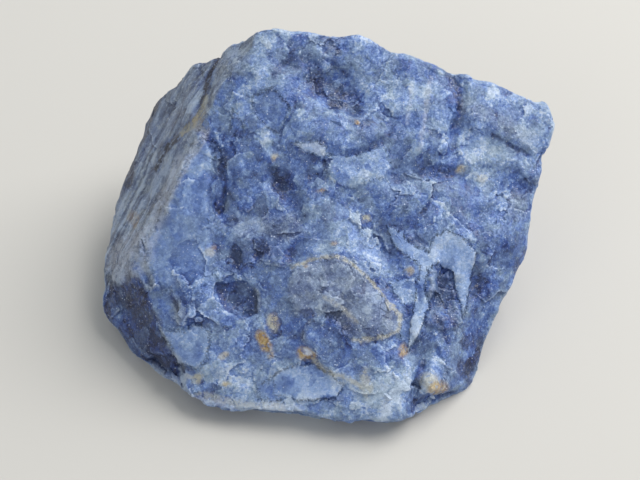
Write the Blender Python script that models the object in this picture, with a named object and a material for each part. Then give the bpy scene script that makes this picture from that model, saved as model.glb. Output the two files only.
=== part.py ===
"""A raw lump of sodalite, about 70 mm across: one broken stone resting on a flat fracture face.

Metres, +Z up. The origin is on the resting plane, under the middle of the stone's box. The broad blue face
leans back and looks along -Y and up, +X is to the right of someone who faces it.
"""

import math
from collections import namedtuple

import bmesh
import bpy
import numpy as np
from mathutils import Vector, noise

MM = 0.001

# The eye that the front is laid out for: how far above the horizon it is, how far in front of the broad face,
# the point of the front that it looks at, to the right and up, and how far out the middle of that face is.
EYE_ELEVATION = math.radians(48.0)
EYE_DISTANCE = 278.0
EYE_CENTRE = (-0.8, 10.8)
FACE_OUT = 12.0

# The point of the resting plane, on the eye's own axes, that is under the middle of the stone.
STAND_AT = (0.0, 3.3)

# Corners of the front in millimetres as that eye sees them: right, up, and out towards the eye.
BROAD_FACE_RIM = (
    (-9.8, 44.3, 14.0),
    (-8.0, 44.2, 13.6),
    (-4.0, 42.9, 12.5),
    (5.0, 42.8, 12.0),
    (9.5, 41.4, 11.5),
    (14.0, 39.3, 11.0),
    (17.6, 38.8, 10.5),
    (28.0, 35.3, 9.0),
    (34.1, 31.9, 8.4),
    (35.4, 29.2, 8.0),
    (34.6, 25.0, 8.0),
    (33.0, 18.5, 9.0),
    (31.2, 11.5, 10.0),
    (28.8, 5.0, 10.5),
    (26.8, -3.5, 10.5),
    (24.6, -9.0, 10.5),
    (22.6, -11.8, 11.5),
    (19.0, -13.8, 13.5),
    (13.6, -16.4, 19.0),
    (12.4, -17.8, 19.5),
    (4.0, -17.4, 19.5),
    (-3.0, -16.9, 19.0),
    (-12.0, -16.1, 18.0),
    (-19.3, -15.4, 17.0),
    (-22.0, -13.6, 16.5),
    (-23.2, -9.5, 15.5),
    (-26.2, -3.4, 14.5),
    (-28.0, 1.0, 13.5),
)
LEFT_RIDGE = (
    (-31.5, 7.0, 11.0),
    (-28.5, 11.0, 12.2),
    (-25.3, 16.5, 13.2),
    (-21.5, 23.2, 14.0),
    (-18.8, 27.6, 14.2),
    (-16.6, 34.5, 14.2),
    (-12.3, 38.0, 14.4),
)
LEFT_FACE_RIM = (
    (-14.8, 41.8, 8.5),
    (-19.0, 38.6, 4.0),
    (-21.0, 35.9, 2.0),
    (-25.5, 33.2, -3.0),
    (-27.2, 30.8, -7.0),
    (-28.6, 27.0, -7.0),
    (-31.0, 22.5, -5.0),
    (-33.8, 14.5, -1.0),
    (-35.1, 8.5, 2.5),
    (-35.8, 4.0, 5.0),
    (-35.6, 0.5, 5.5),
    (-34.8, -1.5, 4.5),
)

# Corners of the flat face that it rests on, and of its back, in millimetres on the resting plane's axes.
REST_FACE = (
    (-33.8, -4.0),
    (-30.6, -7.3),
    (-28.2, -11.8),
    (-23.4, -14.8),
    (-17.0, -18.5),
    (-6.0, -21.5),
    (9.0, -23.0),
    (15.0, -20.0),
    (22.5, -14.5),
    (27.0, -4.0),
    (29.0, 9.0),
    (26.0, 21.0),
    (13.0, 28.5),
    (-6.0, 29.5),
    (-20.0, 28.5),
    (-28.5, 21.5),
    (-33.0, 9.0),
)
BACK_CORNERS = (
    (31.5, 18.0, 12.0),
    (24.0, 28.0, 13.0),
    (7.0, 32.5, 19.0),
    (-10.0, 32.5, 23.0),
    (-23.0, 31.0, 11.0),
)

# A flat form of the broad face: how far its plane stands out of the block, in millimetres, how much that
# grows per millimetre to the right and up, and its outline of (right, up) corners as the eye sees them.
Plate = namedtuple("Plate", "rise tilt_right tilt_up outline")
PLATES = {
    "left_knob": Plate(1.0, -0.05, -0.12, (
        (-19.2, 27.4), (-17.6, 26.4), (-17.2, 22.0), (-17.6, 17.0), (-18.5, 12.5), (-22.0, 13.0),
        (-25.3, 15.2), (-24.3, 19.0), (-21.5, 23.2),
    )),
    "knob_recess": Plate(-0.9, 0.0, 0.0, (
        (-17.4, 26.5), (-15.6, 25.5), (-15.2, 20.0), (-15.4, 14.5), (-17.6, 13.5), (-17.4, 20.0),
    )),
    "peak_strip": Plate(0.5, 0.0, -0.1, (
        (-10.8, 43.6), (-7.2, 43.6), (-8.4, 38.5), (-10.6, 35.2), (-12.6, 36.6),
    )),
    "crack_lip": Plate(0.35, 0.1, 0.0, (
        (-4.2, 33.2), (-5.6, 30.0), (-6.8, 27.8), (-7.6, 25.1), (-5.6, 25.6), (-3.4, 27.4), (-3.0, 32.5),
    )),
    "tongue": Plate(0.9, 0.0, -0.1, (
        (-3.2, 29.8), (0.5, 30.6), (6.5, 30.2), (10.4, 27.4), (7.5, 25.2), (4.5, 24.3), (1.8, 24.6),
        (-0.6, 25.8), (-3.2, 27.2),
    )),
    "shelf_under_tongue": Plate(0.2, 0.0, -0.05, (
        (0.2, 24.2), (4.5, 23.7), (9.7, 25.4), (10.6, 22.6), (9.0, 20.4), (6.0, 19.8), (4.9, 18.8),
        (3.2, 18.9), (1.2, 19.8), (0.2, 21.5),
    )),
    "pale_bar": Plate(0.7, 0.0, -0.25, (
        (-5.2, 25.9), (-1.0, 26.1), (0.1, 25.3), (-0.3, 23.6), (-3.6, 24.6),
    )),
    "pale_heel": Plate(0.5, 0.0, -0.25, (
        (-0.8, 23.6), (0.3, 22.2), (-0.4, 20.8), (-2.2, 22.0),
    )),
    "streaked_slope": Plate(0.5, 0.03, -0.06, (
        (9.6, 41.2), (14.0, 39.2), (17.6, 38.6), (19.2, 36.0), (20.6, 33.0), (20.4, 28.0), (19.6, 25.0),
        (15.5, 23.2), (12.9, 23.6), (11.3, 28.0), (10.2, 33.0), (8.0, 37.0),
    )),
    "right_corner": Plate(0.6, -0.02, -0.05, (
        (21.8, 36.9), (28.0, 35.2), (33.6, 32.2), (35.2, 29.2), (34.6, 25.2), (31.5, 24.2), (29.0, 25.6),
        (26.5, 27.0), (23.5, 27.5), (22.0, 31.0),
    )),
    "pale_shelf": Plate(0.0, 0.0, -0.3, (
        (18.2, 23.4), (21.0, 24.9), (26.0, 25.6), (29.0, 24.4), (33.4, 23.2), (33.0, 20.0), (30.0, 22.0),
        (27.0, 22.9), (20.8, 22.0),
    )),
    "under_shelf": Plate(-0.7, 0.0, 0.08, (
        (10.8, 23.6), (13.0, 22.8), (17.5, 22.9), (20.6, 21.6), (27.0, 22.6), (30.0, 21.6), (32.8, 19.4),
        (28.0, 17.8), (20.0, 18.8), (14.0, 19.8), (9.5, 19.8),
    )),
    "right_field": Plate(0.3, 0.0, -0.03, (
        (7.5, 19.6), (14.0, 19.6), (20.0, 18.6), (28.0, 17.6), (32.6, 17.0), (31.2, 11.0), (28.8, 6.5),
        (25.0, 6.5), (23.0, 8.0), (20.8, 10.0), (16.0, 10.8), (13.6, 13.4), (9.4, 15.4),
    )),
    "diagonal_recess": Plate(-0.9, -0.06, 0.0, (
        (4.6, 18.6), (6.6, 16.2), (9.2, 14.6), (10.6, 11.0), (11.2, 8.4), (13.4, 5.6), (10.0, 5.0),
        (8.0, 7.0), (6.5, 10.0), (4.0, 13.0), (2.5, 16.0),
    )),
    "web": Plate(0.35, 0.0, -0.08, (
        (10.8, 14.6), (14.0, 13.4), (16.2, 10.8), (19.2, 10.4), (21.2, 9.0), (23.2, 7.6), (22.6, 3.8),
        (22.2, 0.4), (21.4, 1.2), (20.6, 4.8), (19.4, 6.2), (16.6, 6.2), (16.4, 3.8), (16.0, -0.6),
        (15.2, -4.2), (13.8, -5.2), (12.8, -1.0), (14.4, 0.8), (14.6, 5.0), (12.0, 6.6), (11.4, 9.0),
    )),
    "web_pit": Plate(-1.2, 0.1, 0.0, (
        (16.6, 6.6), (19.3, 7.5), (19.5, 5.8), (20.6, 4.9), (21.6, 0.4), (20.5, -1.2), (17.6, -0.6),
        (16.3, 0.6), (16.6, 3.6),
    )),
    "web_small_pit": Plate(-0.8, 0.0, 0.0, (
        (22.6, 5.4), (24.2, 6.0), (25.2, 4.6), (26.0, 2.0), (24.6, 0.4), (22.4, 0.6), (22.8, 3.4),
    )),
    "streaked_lobe": Plate(-0.2, -0.12, 0.0, (
        (15.6, -1.0), (17.6, -0.8), (21.4, -0.2), (26.2, 0.8), (26.8, -3.5), (24.6, -9.0), (22.4, -11.5),
        (19.6, -7.4), (16.4, -4.2),
    )),
    "low_lobe": Plate(0.4, -0.05, -0.1, (
        (14.8, -8.4), (17.2, -7.0), (19.4, -7.6), (22.4, -11.6), (19.0, -13.8), (14.2, -15.0),
        (14.6, -12.0),
    )),
    "grey_plate": Plate(0.9, 0.0, -0.02, (
        (-5.0, 6.0), (-2.5, 7.2), (1.5, 8.2), (4.0, 6.8), (6.5, 4.8), (8.5, 2.5), (10.3, 0.3),
        (11.7, -1.0), (11.5, -3.0), (10.5, -4.0), (7.0, -4.6), (4.5, -4.8), (0.0, -8.0), (-3.0, -5.0),
        (-4.5, -1.0), (-6.0, 3.0),
    )),
    "low_lip": Plate(0.6, 0.0, 0.0, (
        (-1.8, -8.2), (0.0, -8.0), (4.5, -5.0), (7.0, -5.0), (8.0, -8.0), (7.5, -12.5), (5.5, -12.2),
        (3.0, -10.9), (1.0, -9.9),
    )),
    "bright_window": Plate(-0.2, 0.0, -0.18, (
        (-8.0, -11.0), (-5.5, -8.9), (-1.5, -8.7), (1.0, -10.0), (2.8, -12.0), (2.4, -13.8),
        (-3.0, -14.5), (-8.0, -13.6),
    )),
    "buttress": Plate(0.7, 0.05, 0.0, (
        (8.2, -6.5), (11.8, -6.0), (13.2, -8.5), (13.9, -13.5), (13.4, -16.6), (12.4, -17.8),
        (7.2, -17.6), (7.4, -12.6),
    )),
    "left_dome": Plate(0.8, 0.0, -0.03, (
        (-27.5, 9.0), (-25.0, 14.0), (-19.0, 12.0), (-16.6, 9.5), (-16.8, 5.0), (-18.5, 0.0),
        (-20.2, -1.6), (-22.4, -0.2), (-24.6, 2.6), (-27.0, 3.0),
    )),
    "left_step": Plate(0.1, 0.0, -0.05, (
        (-24.4, 2.2), (-22.4, -0.4), (-20.2, -2.0), (-21.6, -3.2), (-23.8, -2.9), (-26.6, -0.6),
        (-26.8, 2.0),
    )),
    "left_foot": Plate(0.3, 0.05, -0.1, (
        (-26.2, -3.2), (-23.6, -3.4), (-21.6, -3.6), (-20.2, -2.6), (-18.2, -3.6), (-18.4, -8.0),
        (-20.0, -9.4), (-23.0, -8.6), (-24.6, -5.6),
    )),
    "black_hollow": Plate(-1.1, 0.0, 0.1, (
        (-17.0, 4.0), (-12.0, 4.2), (-10.5, 2.0), (-10.7, -0.5), (-13.0, -1.7), (-15.5, -0.3),
        (-16.7, 1.0),
    )),
    "low_field": Plate(0.3, 0.0, -0.08, (
        (-18.0, -1.0), (-15.0, -0.8), (-13.0, -1.9), (-10.8, -0.8), (-8.0, -3.0), (-10.0, -8.0),
        (-15.0, -9.5), (-19.6, -9.2), (-18.0, -8.0), (-17.8, -3.6),
    )),
    "dark_gully": Plate(-1.0, 0.1, 0.0, (
        (-9.6, 22.2), (-6.2, 22.0), (-5.4, 19.0), (-3.8, 16.4), (-2.8, 13.0), (-4.6, 12.6), (-5.8, 15.5),
        (-8.2, 18.8),
    )),
}

# Rounded hollows of the broad face: right, up, half length, half width, turn in degrees, depth.
HOLLOWS = (
    (1.5, 34.2, 6.5, 4.0, -15.0, 1.8),
    (-4.0, 38.8, 3.4, 2.1, 0.0, 1.0),
    (-1.0, 20.3, 1.6, 1.2, 0.0, 0.9),
    (15.0, 10.2, 2.4, 1.1, -35.0, 0.9),
    (14.7, 2.4, 0.6, 1.6, 0.0, 0.5),
    (1.0, -13.9, 1.8, 0.4, -6.0, 0.7),
    (-14.5, 13.5, 2.0, 1.2, 20.0, 0.7),
    (-13.4, 8.0, 1.3, 2.6, 20.0, 0.8),
    (-9.8, 9.6, 1.6, 2.2, 0.0, 0.7),
    (-5.4, 8.4, 1.1, 1.6, 0.0, 0.5),
    (-15.0, 17.6, 1.0, 1.6, 0.0, 0.5),
    (24.0, 14.0, 3.2, 2.0, 60.0, 0.6),
    (16.2, -15.6, 2.8, 1.5, 25.0, 1.8),
)

# Cracks and creases: half width, depth, and the (right, up) points that they run through.
CREASES = (
    (0.35, 0.9, ((-4.2, 33.2), (-5.6, 30.0), (-6.8, 27.8), (-7.6, 25.0))),
    (0.8, 0.9, ((-1.5, 38.5), (-2.0, 36.0), (-0.5, 33.0), (1.0, 31.5))),
    (0.9, 1.1, ((18.6, 38.6), (20.2, 35.0), (21.5, 31.5), (21.2, 29.0), (20.2, 25.2))),
    (0.6, 0.8, ((26.2, 27.2), (28.6, 25.8), (31.4, 24.2))),
    (1.2, 1.4, ((16.4, -6.6), (15.4, -8.8), (14.7, -11.0), (14.2, -13.0))),
    (1.7, 2.3, ((14.6, -13.4), (14.2, -15.0), (14.0, -17.5))),
    (0.5, 0.6, ((-22.8, -9.6), (-20.6, -10.2), (-19.4, -11.8))),
    (1.3, 1.7, ((-23.6, -8.4), (-23.7, -10.2), (-22.8, -13.5))),
    (0.7, 0.7, ((-16.6, 41.0), (-17.6, 38.0), (-19.2, 33.0), (-20.2, 29.8), (-22.5, 27.8), (-24.6, 25.0),
                (-27.0, 21.0), (-29.6, 15.5))),
    (0.45, 0.4, ((-18.6, 29.0), (-21.6, 25.0), (-25.2, 19.4), (-28.0, 14.0), (-31.5, 9.5))),
)

# How wide a plate's edge is where it is a sharp ledge and where it fades out, over how long a stretch that
# changes, and how far the outlines wander: the size of each bend and its reach.
PLATE_EDGE = (0.25, 2.0)
PLATE_EDGE_STRETCH = 4.5
PLATE_EDGE_BAND = (0.0, 0.4)
OUTLINE_WANDER = ((5.0, 1.3), (1.6, 0.5))

# Where the wall of a hollow and of a crease begins and ends, as a share of its half width.
HOLLOW_WALL = (0.35, 1.15)
CREASE_WALL = (0.1, 1.0)

# How squarely a surface has to face the eye to start having the broad face's forms, and to have them whole.
FRONT_BAND = (0.1, 0.5)

# The chips that broke away all over the stone: their size, how far they lift and drop, how hollow they are,
# and how far they cut in on the whole. The broad face, which has its own forms, takes a share of that.
COARSE_CHIPS = (13.0, 2.4, 0.9)
MIDDLE_CHIPS = (5.5, 0.9, 0.9)
CHIPS_DROP = 0.9
CHIPS_ON_FACE = 0.38

# The small steps between split layers: their size and height.
SPLITS = (2.6, 0.22)

# The seed of all that is broken by chance, and what turns the place of a chip or layer into a tilt or level
# that is its own.
CHANCE_SEED = 5
SEED_SPREAD = 7.3

# The resting face is pressed out a little and then cut off flat below the block's own underside. It is the
# surface that turns down at least this squarely, and lies this low.
REST_PRESS = 0.8
REST_CUT = 0.3
REST_SLOPE = (-0.6, -0.95)
REST_BAND = (1.2, 0.2)

# The step of the even mesh that the relief is worked on, and how many triangles the finished stone has.
GRAIN_STEP = 0.45
TRIANGLES = 8200

STONE_COLOUR = (0.12, 0.19, 0.46, 1.0)
STONE_ROUGHNESS = 0.55


def sight_axes():
    """The eye's right, up and out directions."""
    rise, run = math.sin(EYE_ELEVATION), math.cos(EYE_ELEVATION)
    return np.array(((1.0, 0.0, 0.0), (0.0, rise, run), (0.0, -run, rise)))


def seen_point(right, up, out):
    """The point, in millimetres, that the eye sees at (right, up) when it lies that far out."""
    spread = (EYE_DISTANCE + FACE_OUT - out) / EYE_DISTANCE
    across = EYE_CENTRE[0] + (right - EYE_CENTRE[0]) * spread
    along = EYE_CENTRE[1] + (up - EYE_CENTRE[1]) * spread
    return np.array((across, along, out)) @ sight_axes()


def seen_places(points):
    """Where the eye sees each point, as (right, up) rows."""
    sight = points @ sight_axes().T
    spread = (EYE_DISTANCE + FACE_OUT - sight[:, 2:]) / EYE_DISTANCE
    centre = np.array(EYE_CENTRE)
    return centre + (sight[:, :2] - centre) / spread


def smooth_step(low, high, value):
    """How far each value has gone from low to high, from 0 to 1, with a soft start and end."""
    share = np.clip((value - low) / (high - low), 0.0, 1.0)
    return share * share * (3.0 - 2.0 * share)


def distance_to_line(places, line):
    """How far each place is from the nearest point of a line of straight stretches."""
    nearest = np.full(len(places), np.inf)
    for start, end in zip(line[:-1], line[1:]):
        start, end = np.array(start), np.array(end)
        along = end - start
        share = np.clip((places - start) @ along / (along @ along), 0.0, 1.0)
        gap = places - start - share[:, None] * along
        nearest = np.minimum(nearest, np.hypot(gap[:, 0], gap[:, 1]))
    return nearest


def depth_inside(places, outline):
    """How far each place is inside a closed outline, below zero where it is outside."""
    inside = np.zeros(len(places), bool)
    for (x0, y0), (x1, y1) in zip(outline, outline[1:] + outline[:1]):
        crosses = (y0 > places[:, 1]) != (y1 > places[:, 1])
        if y0 != y1:
            inside ^= crosses & (places[:, 0] < x0 + (places[:, 1] - y0) * (x1 - x0) / (y1 - y0))
    gap = distance_to_line(places, outline + outline[:1])
    return np.where(inside, gap, -gap)


def wander(points, size):
    """A smooth push in three directions at each point, that changes over about that size."""
    return np.array([noise.noise_vector(Vector(point / size)) for point in points])


def chip_heights(points, size, lift, hollow):
    """How far a surface of chips of that size stands out: shallow dishes that meet in sharp ridges."""
    heights = np.empty(len(points))
    for index, point in enumerate(points):
        place = Vector(point / size)
        distances, seeds, *_ = noise.voronoi(place)
        heights[index] = lift * min(
            (place - seed).dot(noise.noise_vector(seed * SEED_SPREAD)) + hollow * distance * distance
            for distance, seed in zip(distances, seeds)
        )
    return heights


def split_heights(points, size, lift):
    """How far flat layers of about that size stand out, each at a level of its own."""
    seeds = [noise.voronoi(Vector(point / size))[1][0] for point in points]
    return lift * np.array([noise.noise(seed * SEED_SPREAD) for seed in seeds])


def face_heights(places, edge):
    """How far the placed forms of the broad face stand out of the block at each seen place."""
    heights = np.zeros(len(places))
    for plate in PLATES.values():
        share = smooth_step(-edge, edge, depth_inside(places, plate.outline))
        from_middle = places - np.mean(plate.outline, axis=0)
        plane = plate.rise + from_middle @ np.array((plate.tilt_right, plate.tilt_up))
        heights = heights * (1.0 - share) + plane * share
    for right, up, half_length, half_width, turn, depth in HOLLOWS:
        cos, sin = math.cos(math.radians(turn)), math.sin(math.radians(turn))
        from_middle = places - np.array((right, up))
        along = (from_middle @ np.array((cos, sin))) / half_length
        across = (from_middle @ np.array((-sin, cos))) / half_width
        heights -= depth * (1.0 - smooth_step(*HOLLOW_WALL, np.hypot(along, across)))
    for half_width, depth, line in CREASES:
        heights -= depth * (1.0 - smooth_step(*CREASE_WALL, distance_to_line(places, line) / half_width))
    return heights


def plain_block():
    """The convex block that all the corners span."""
    shape = bmesh.new()
    front = [seen_point(*corner) for corner in BROAD_FACE_RIM + LEFT_RIDGE + LEFT_FACE_RIM]
    rest = [(x, y, 0.0) for x, y in REST_FACE]
    for corner in front + rest + list(BACK_CORNERS):
        shape.verts.new(Vector(corner) * MM)
    hull = bmesh.ops.convex_hull(shape, input=shape.verts)
    bmesh.ops.delete(shape, geom=hull["geom_interior"], context="VERTS")
    bmesh.ops.recalc_face_normals(shape, faces=shape.faces)
    mesh = bpy.data.meshes.new("block")
    shape.to_mesh(mesh)
    shape.free()
    return mesh


def with_modifier(mesh, kind, **settings):
    """The mesh after one modifier."""
    carrier = bpy.data.objects.new("carrier", mesh)
    bpy.context.scene.collection.objects.link(carrier)
    modifier = carrier.modifiers.new(kind, kind)
    for name, value in settings.items():
        setattr(modifier, name, value)
    changed = carrier.evaluated_get(bpy.context.evaluated_depsgraph_get())
    result = bpy.data.meshes.new_from_object(changed)
    bpy.data.objects.remove(carrier)
    return result


def grained(mesh):
    """The same solid with an even mesh, fine enough to break up."""
    return with_modifier(mesh, "REMESH", mode="VOXEL", voxel_size=GRAIN_STEP * MM)


def broken(mesh):
    """The block with its surface broken into chips, plates, hollows and cracks."""
    count = len(mesh.vertices)
    points, normals = np.empty(count * 3), np.empty(count * 3)
    mesh.vertices.foreach_get("co", points)
    mesh.vertices.foreach_get("normal", normals)
    points, normals = points.reshape(-1, 3) / MM, normals.reshape(-1, 3)
    places = seen_places(points)
    sharp, faded = PLATE_EDGE
    edge = sharp + (faded - sharp) * smooth_step(*PLATE_EDGE_BAND, wander(points, PLATE_EDGE_STRETCH)[:, 2])
    for size, reach in OUTLINE_WANDER:
        places = places + reach * wander(points, size)[:, :2]
    facing = smooth_step(*FRONT_BAND, normals @ sight_axes()[2])
    heights = face_heights(places, edge) * facing
    chips = chip_heights(points, *COARSE_CHIPS) + chip_heights(points, *MIDDLE_CHIPS) - CHIPS_DROP
    heights += chips * (1.0 - (1.0 - CHIPS_ON_FACE) * facing) + split_heights(points, *SPLITS)
    resting = smooth_step(*REST_SLOPE, normals[:, 2]) * smooth_step(*REST_BAND, points[:, 2])
    heights = heights * (1.0 - resting) + REST_PRESS * resting
    moved = (points + normals * heights[:, None]) * MM
    mesh.vertices.foreach_set("co", moved.ravel())
    mesh.update()
    return mesh


def thinned(mesh):
    """The same surface with as many triangles as its shape needs."""
    share = TRIANGLES / (2 * len(mesh.polygons))
    return with_modifier(mesh, "DECIMATE", ratio=share, use_collapse_triangulate=True)


def rested(mesh):
    """The stone cut off flat where it rests, with that face on z = 0 and the origin under its middle."""
    shape = bmesh.new()
    shape.from_mesh(mesh)
    everything = shape.verts[:] + shape.edges[:] + shape.faces[:]
    bmesh.ops.bisect_plane(
        shape, geom=everything, plane_co=(0, 0, -REST_CUT * MM), plane_no=(0, 0, -1), clear_outer=True
    )
    rim = [edge for edge in shape.edges if edge.is_boundary]
    bmesh.ops.holes_fill(shape, edges=rim)
    bmesh.ops.triangulate(shape, faces=shape.faces)
    bmesh.ops.translate(shape, verts=shape.verts, vec=(-STAND_AT[0] * MM, -STAND_AT[1] * MM, REST_CUT * MM))
    shape.to_mesh(mesh)
    shape.free()
    return mesh


def stone_material():
    """The stone's plain blue."""
    material = bpy.data.materials.new("sodalite_blue")
    material.use_nodes = True
    surface = material.node_tree.nodes["Principled BSDF"]
    surface.inputs["Base Color"].default_value = STONE_COLOUR
    surface.inputs["Roughness"].default_value = STONE_ROUGHNESS
    surface.inputs["Metallic"].default_value = 0.0
    material.diffuse_color = STONE_COLOUR
    return material


def main():
    """Makes the stone."""
    for old in list(bpy.data.objects):
        bpy.data.objects.remove(old)
    noise.seed_set(CHANCE_SEED)
    mesh = rested(thinned(grained(broken(grained(plain_block())))))
    mesh.name = "sodalite"
    mesh.materials.append(stone_material())
    stone = bpy.data.objects.new("sodalite", mesh)
    bpy.context.scene.collection.objects.link(stone)


main()
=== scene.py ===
"""The looks of a raw lump of sodalite: its broken surface, its minerals and a plain studio."""

import logging
import math
from collections.abc import Iterator
from dataclasses import dataclass, field
from enum import Enum, IntEnum

import bmesh
import bpy
import numpy as np
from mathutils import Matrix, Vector


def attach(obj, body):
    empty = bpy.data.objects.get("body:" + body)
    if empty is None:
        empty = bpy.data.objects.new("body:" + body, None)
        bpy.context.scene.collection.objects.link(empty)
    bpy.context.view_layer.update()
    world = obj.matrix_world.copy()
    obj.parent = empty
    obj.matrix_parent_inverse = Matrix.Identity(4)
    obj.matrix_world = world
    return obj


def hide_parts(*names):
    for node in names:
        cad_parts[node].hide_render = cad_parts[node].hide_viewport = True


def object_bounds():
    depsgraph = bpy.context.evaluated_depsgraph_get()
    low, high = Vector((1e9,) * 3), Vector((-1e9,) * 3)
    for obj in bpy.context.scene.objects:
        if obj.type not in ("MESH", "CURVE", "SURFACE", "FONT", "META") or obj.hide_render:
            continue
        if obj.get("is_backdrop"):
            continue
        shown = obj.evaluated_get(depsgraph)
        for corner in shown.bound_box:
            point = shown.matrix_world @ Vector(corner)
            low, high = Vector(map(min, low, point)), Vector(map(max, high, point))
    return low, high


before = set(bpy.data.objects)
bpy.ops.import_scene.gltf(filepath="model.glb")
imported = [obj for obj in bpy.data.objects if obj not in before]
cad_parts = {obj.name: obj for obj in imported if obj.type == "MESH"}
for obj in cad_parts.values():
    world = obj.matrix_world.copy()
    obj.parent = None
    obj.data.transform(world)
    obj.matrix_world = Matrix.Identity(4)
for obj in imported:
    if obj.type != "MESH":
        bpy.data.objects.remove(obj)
CAD_LOW, CAD_HIGH = (np.array(corner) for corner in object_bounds())

MM = 0.001
LOG = logging.getLogger("raw_sodalite")

Place = tuple[float, float]
Line = tuple[Place, ...]
Band = tuple[float, float]
Waves = tuple[tuple[float, float], ...]
Triple = tuple[float, float, float]
Colour = tuple[float, float, float, float]

# What a cell's whole numbers, its channel and its mixed value are multiplied by and shifted by, so that
# cells side by side get unlike values, and how many values a cell can have.
CELL_FACTORS = (73856093, 19349663, 83492791)
CHANNEL_FACTOR = 2654435761
MIX_FACTOR = 1274126177
MIX_SHIFTS = (13, 16, 11)
LAST_SHIFT = 7
CELL_STEPS = 0x1000000

# How far apart the channels of seeds, layers, axes, sizes and a cell's own values lie.
SEED_STEP = 31
LAYER_STEP = 17
AXIS_STEP = 101
SIZE_STEP = 10
OWN_STEP = 1000

# The middle of the range of a colour that holds three values of chance.
MIDDLE = (0.5, 0.5, 0.5)


class Channel(IntEnum):
    """The first channel of chance that each thing on the stone takes its values from."""

    LEVELS = 41
    LEVEL_ZONE = 50
    BEND = 60
    ROUGH_ZONE = 65
    CHIPS = 70
    GRIT = 99
    TEAR = 120
    FLAKES = 130
    WANDER = 200
    DRIFT = 300
    GREY_PATCHES = 340
    STAINS = 350
    LOOSE = 360
    STREAKS = 400


def smooth_step(low: float, high: float, value: np.ndarray) -> np.ndarray:
    """How far each value has gone from low to high, from 0 to 1, with a soft start and end.

    Args:
        low: where the step begins.
        high: where it ends, which may be below low.
        value: the values to place on it.

    Returns:
        The share of the step that each value has gone.
    """
    return eased(np.clip((value - low) / (high - low), 0.0, 1.0))


def eased(share: np.ndarray) -> np.ndarray:
    """Shares from 0 to 1 with a soft start and end."""
    return share * share * (3.0 - 2.0 * share)


def in_scene(name: str, data: bpy.types.ID) -> bpy.types.Object:
    """A new object of that name and data, in the scene."""
    thing = bpy.data.objects.new(name, data)
    bpy.context.scene.collection.objects.link(thing)
    return thing


def settled(carrier: bpy.types.Object) -> bpy.types.Mesh:
    """A new plain mesh of what an object's modifiers make of it. The object goes, with its modifiers."""
    changed = carrier.evaluated_get(bpy.context.evaluated_depsgraph_get())
    result = bpy.data.meshes.new_from_object(changed)
    bpy.data.objects.remove(carrier)
    return result


@dataclass(frozen=True)
class Eye:
    """The eye that the stone's front is laid out for, and what it sees where, in millimetres."""

    elevation: float = math.radians(48.0)
    distance: float = 278.0
    centre: Place = (-0.8, 10.8)
    face_out: float = 12.0
    stand_at: Triple = (0.0, 3.3, -0.3)
    facing_band: Band = (-0.05, 0.2)
    lens: float = 100.0
    sensor: float = 36.0

    def axes(self) -> np.ndarray:
        """The rows are the eye's right, up and out directions."""
        rise, run = math.sin(self.elevation), math.cos(self.elevation)
        return np.array(((1.0, 0.0, 0.0), (0.0, rise, run), (0.0, -run, rise)))

    def sight(self, points: np.ndarray) -> np.ndarray:
        """Points of the stone as rows of right, up and out on the eye's own axes."""
        return (points + np.array(self.stand_at)) @ self.axes().T

    def places(self, points: np.ndarray) -> np.ndarray:
        """Where the eye sees points of the stone.

        Args:
            points: rows of x, y and z in millimetres, in the stone's own frame.

        Returns:
            Rows of right and up in millimetres, measured at the broad face.
        """
        sight = self.sight(points)
        spread = (self.distance + self.face_out - sight[:, 2:]) / self.distance
        centre = np.array(self.centre)
        return centre + (sight[:, :2] - centre) / spread

    def facing(self, normals: np.ndarray) -> np.ndarray:
        """How far each normal points to the eye: 0 where it points away, 1 from a slant on."""
        return smooth_step(*self.facing_band, normals @ self.axes()[2])

    def point(self, right: float, up: float, out: float) -> Vector:
        """The point, in metres, that lies at right, up and out on the eye's own axes."""
        return Vector((np.array((right, up, out)) @ self.axes() - np.array(self.stand_at)) * MM)

    def camera(self) -> bpy.types.Object:
        """A camera at the eye, looking at the broad face.

        Returns:
            The camera's object, in the scene.
        """
        data = bpy.data.cameras.new("camera")
        data.lens = self.lens
        data.sensor_width = self.sensor
        data.clip_start = 0.01
        camera = in_scene("camera", data)
        camera.location = self.point(*self.centre, self.face_out + self.distance)
        camera.rotation_euler = Vector(-self.axes()[2]).to_track_quat("-Z", "Y").to_euler()
        return camera


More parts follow.
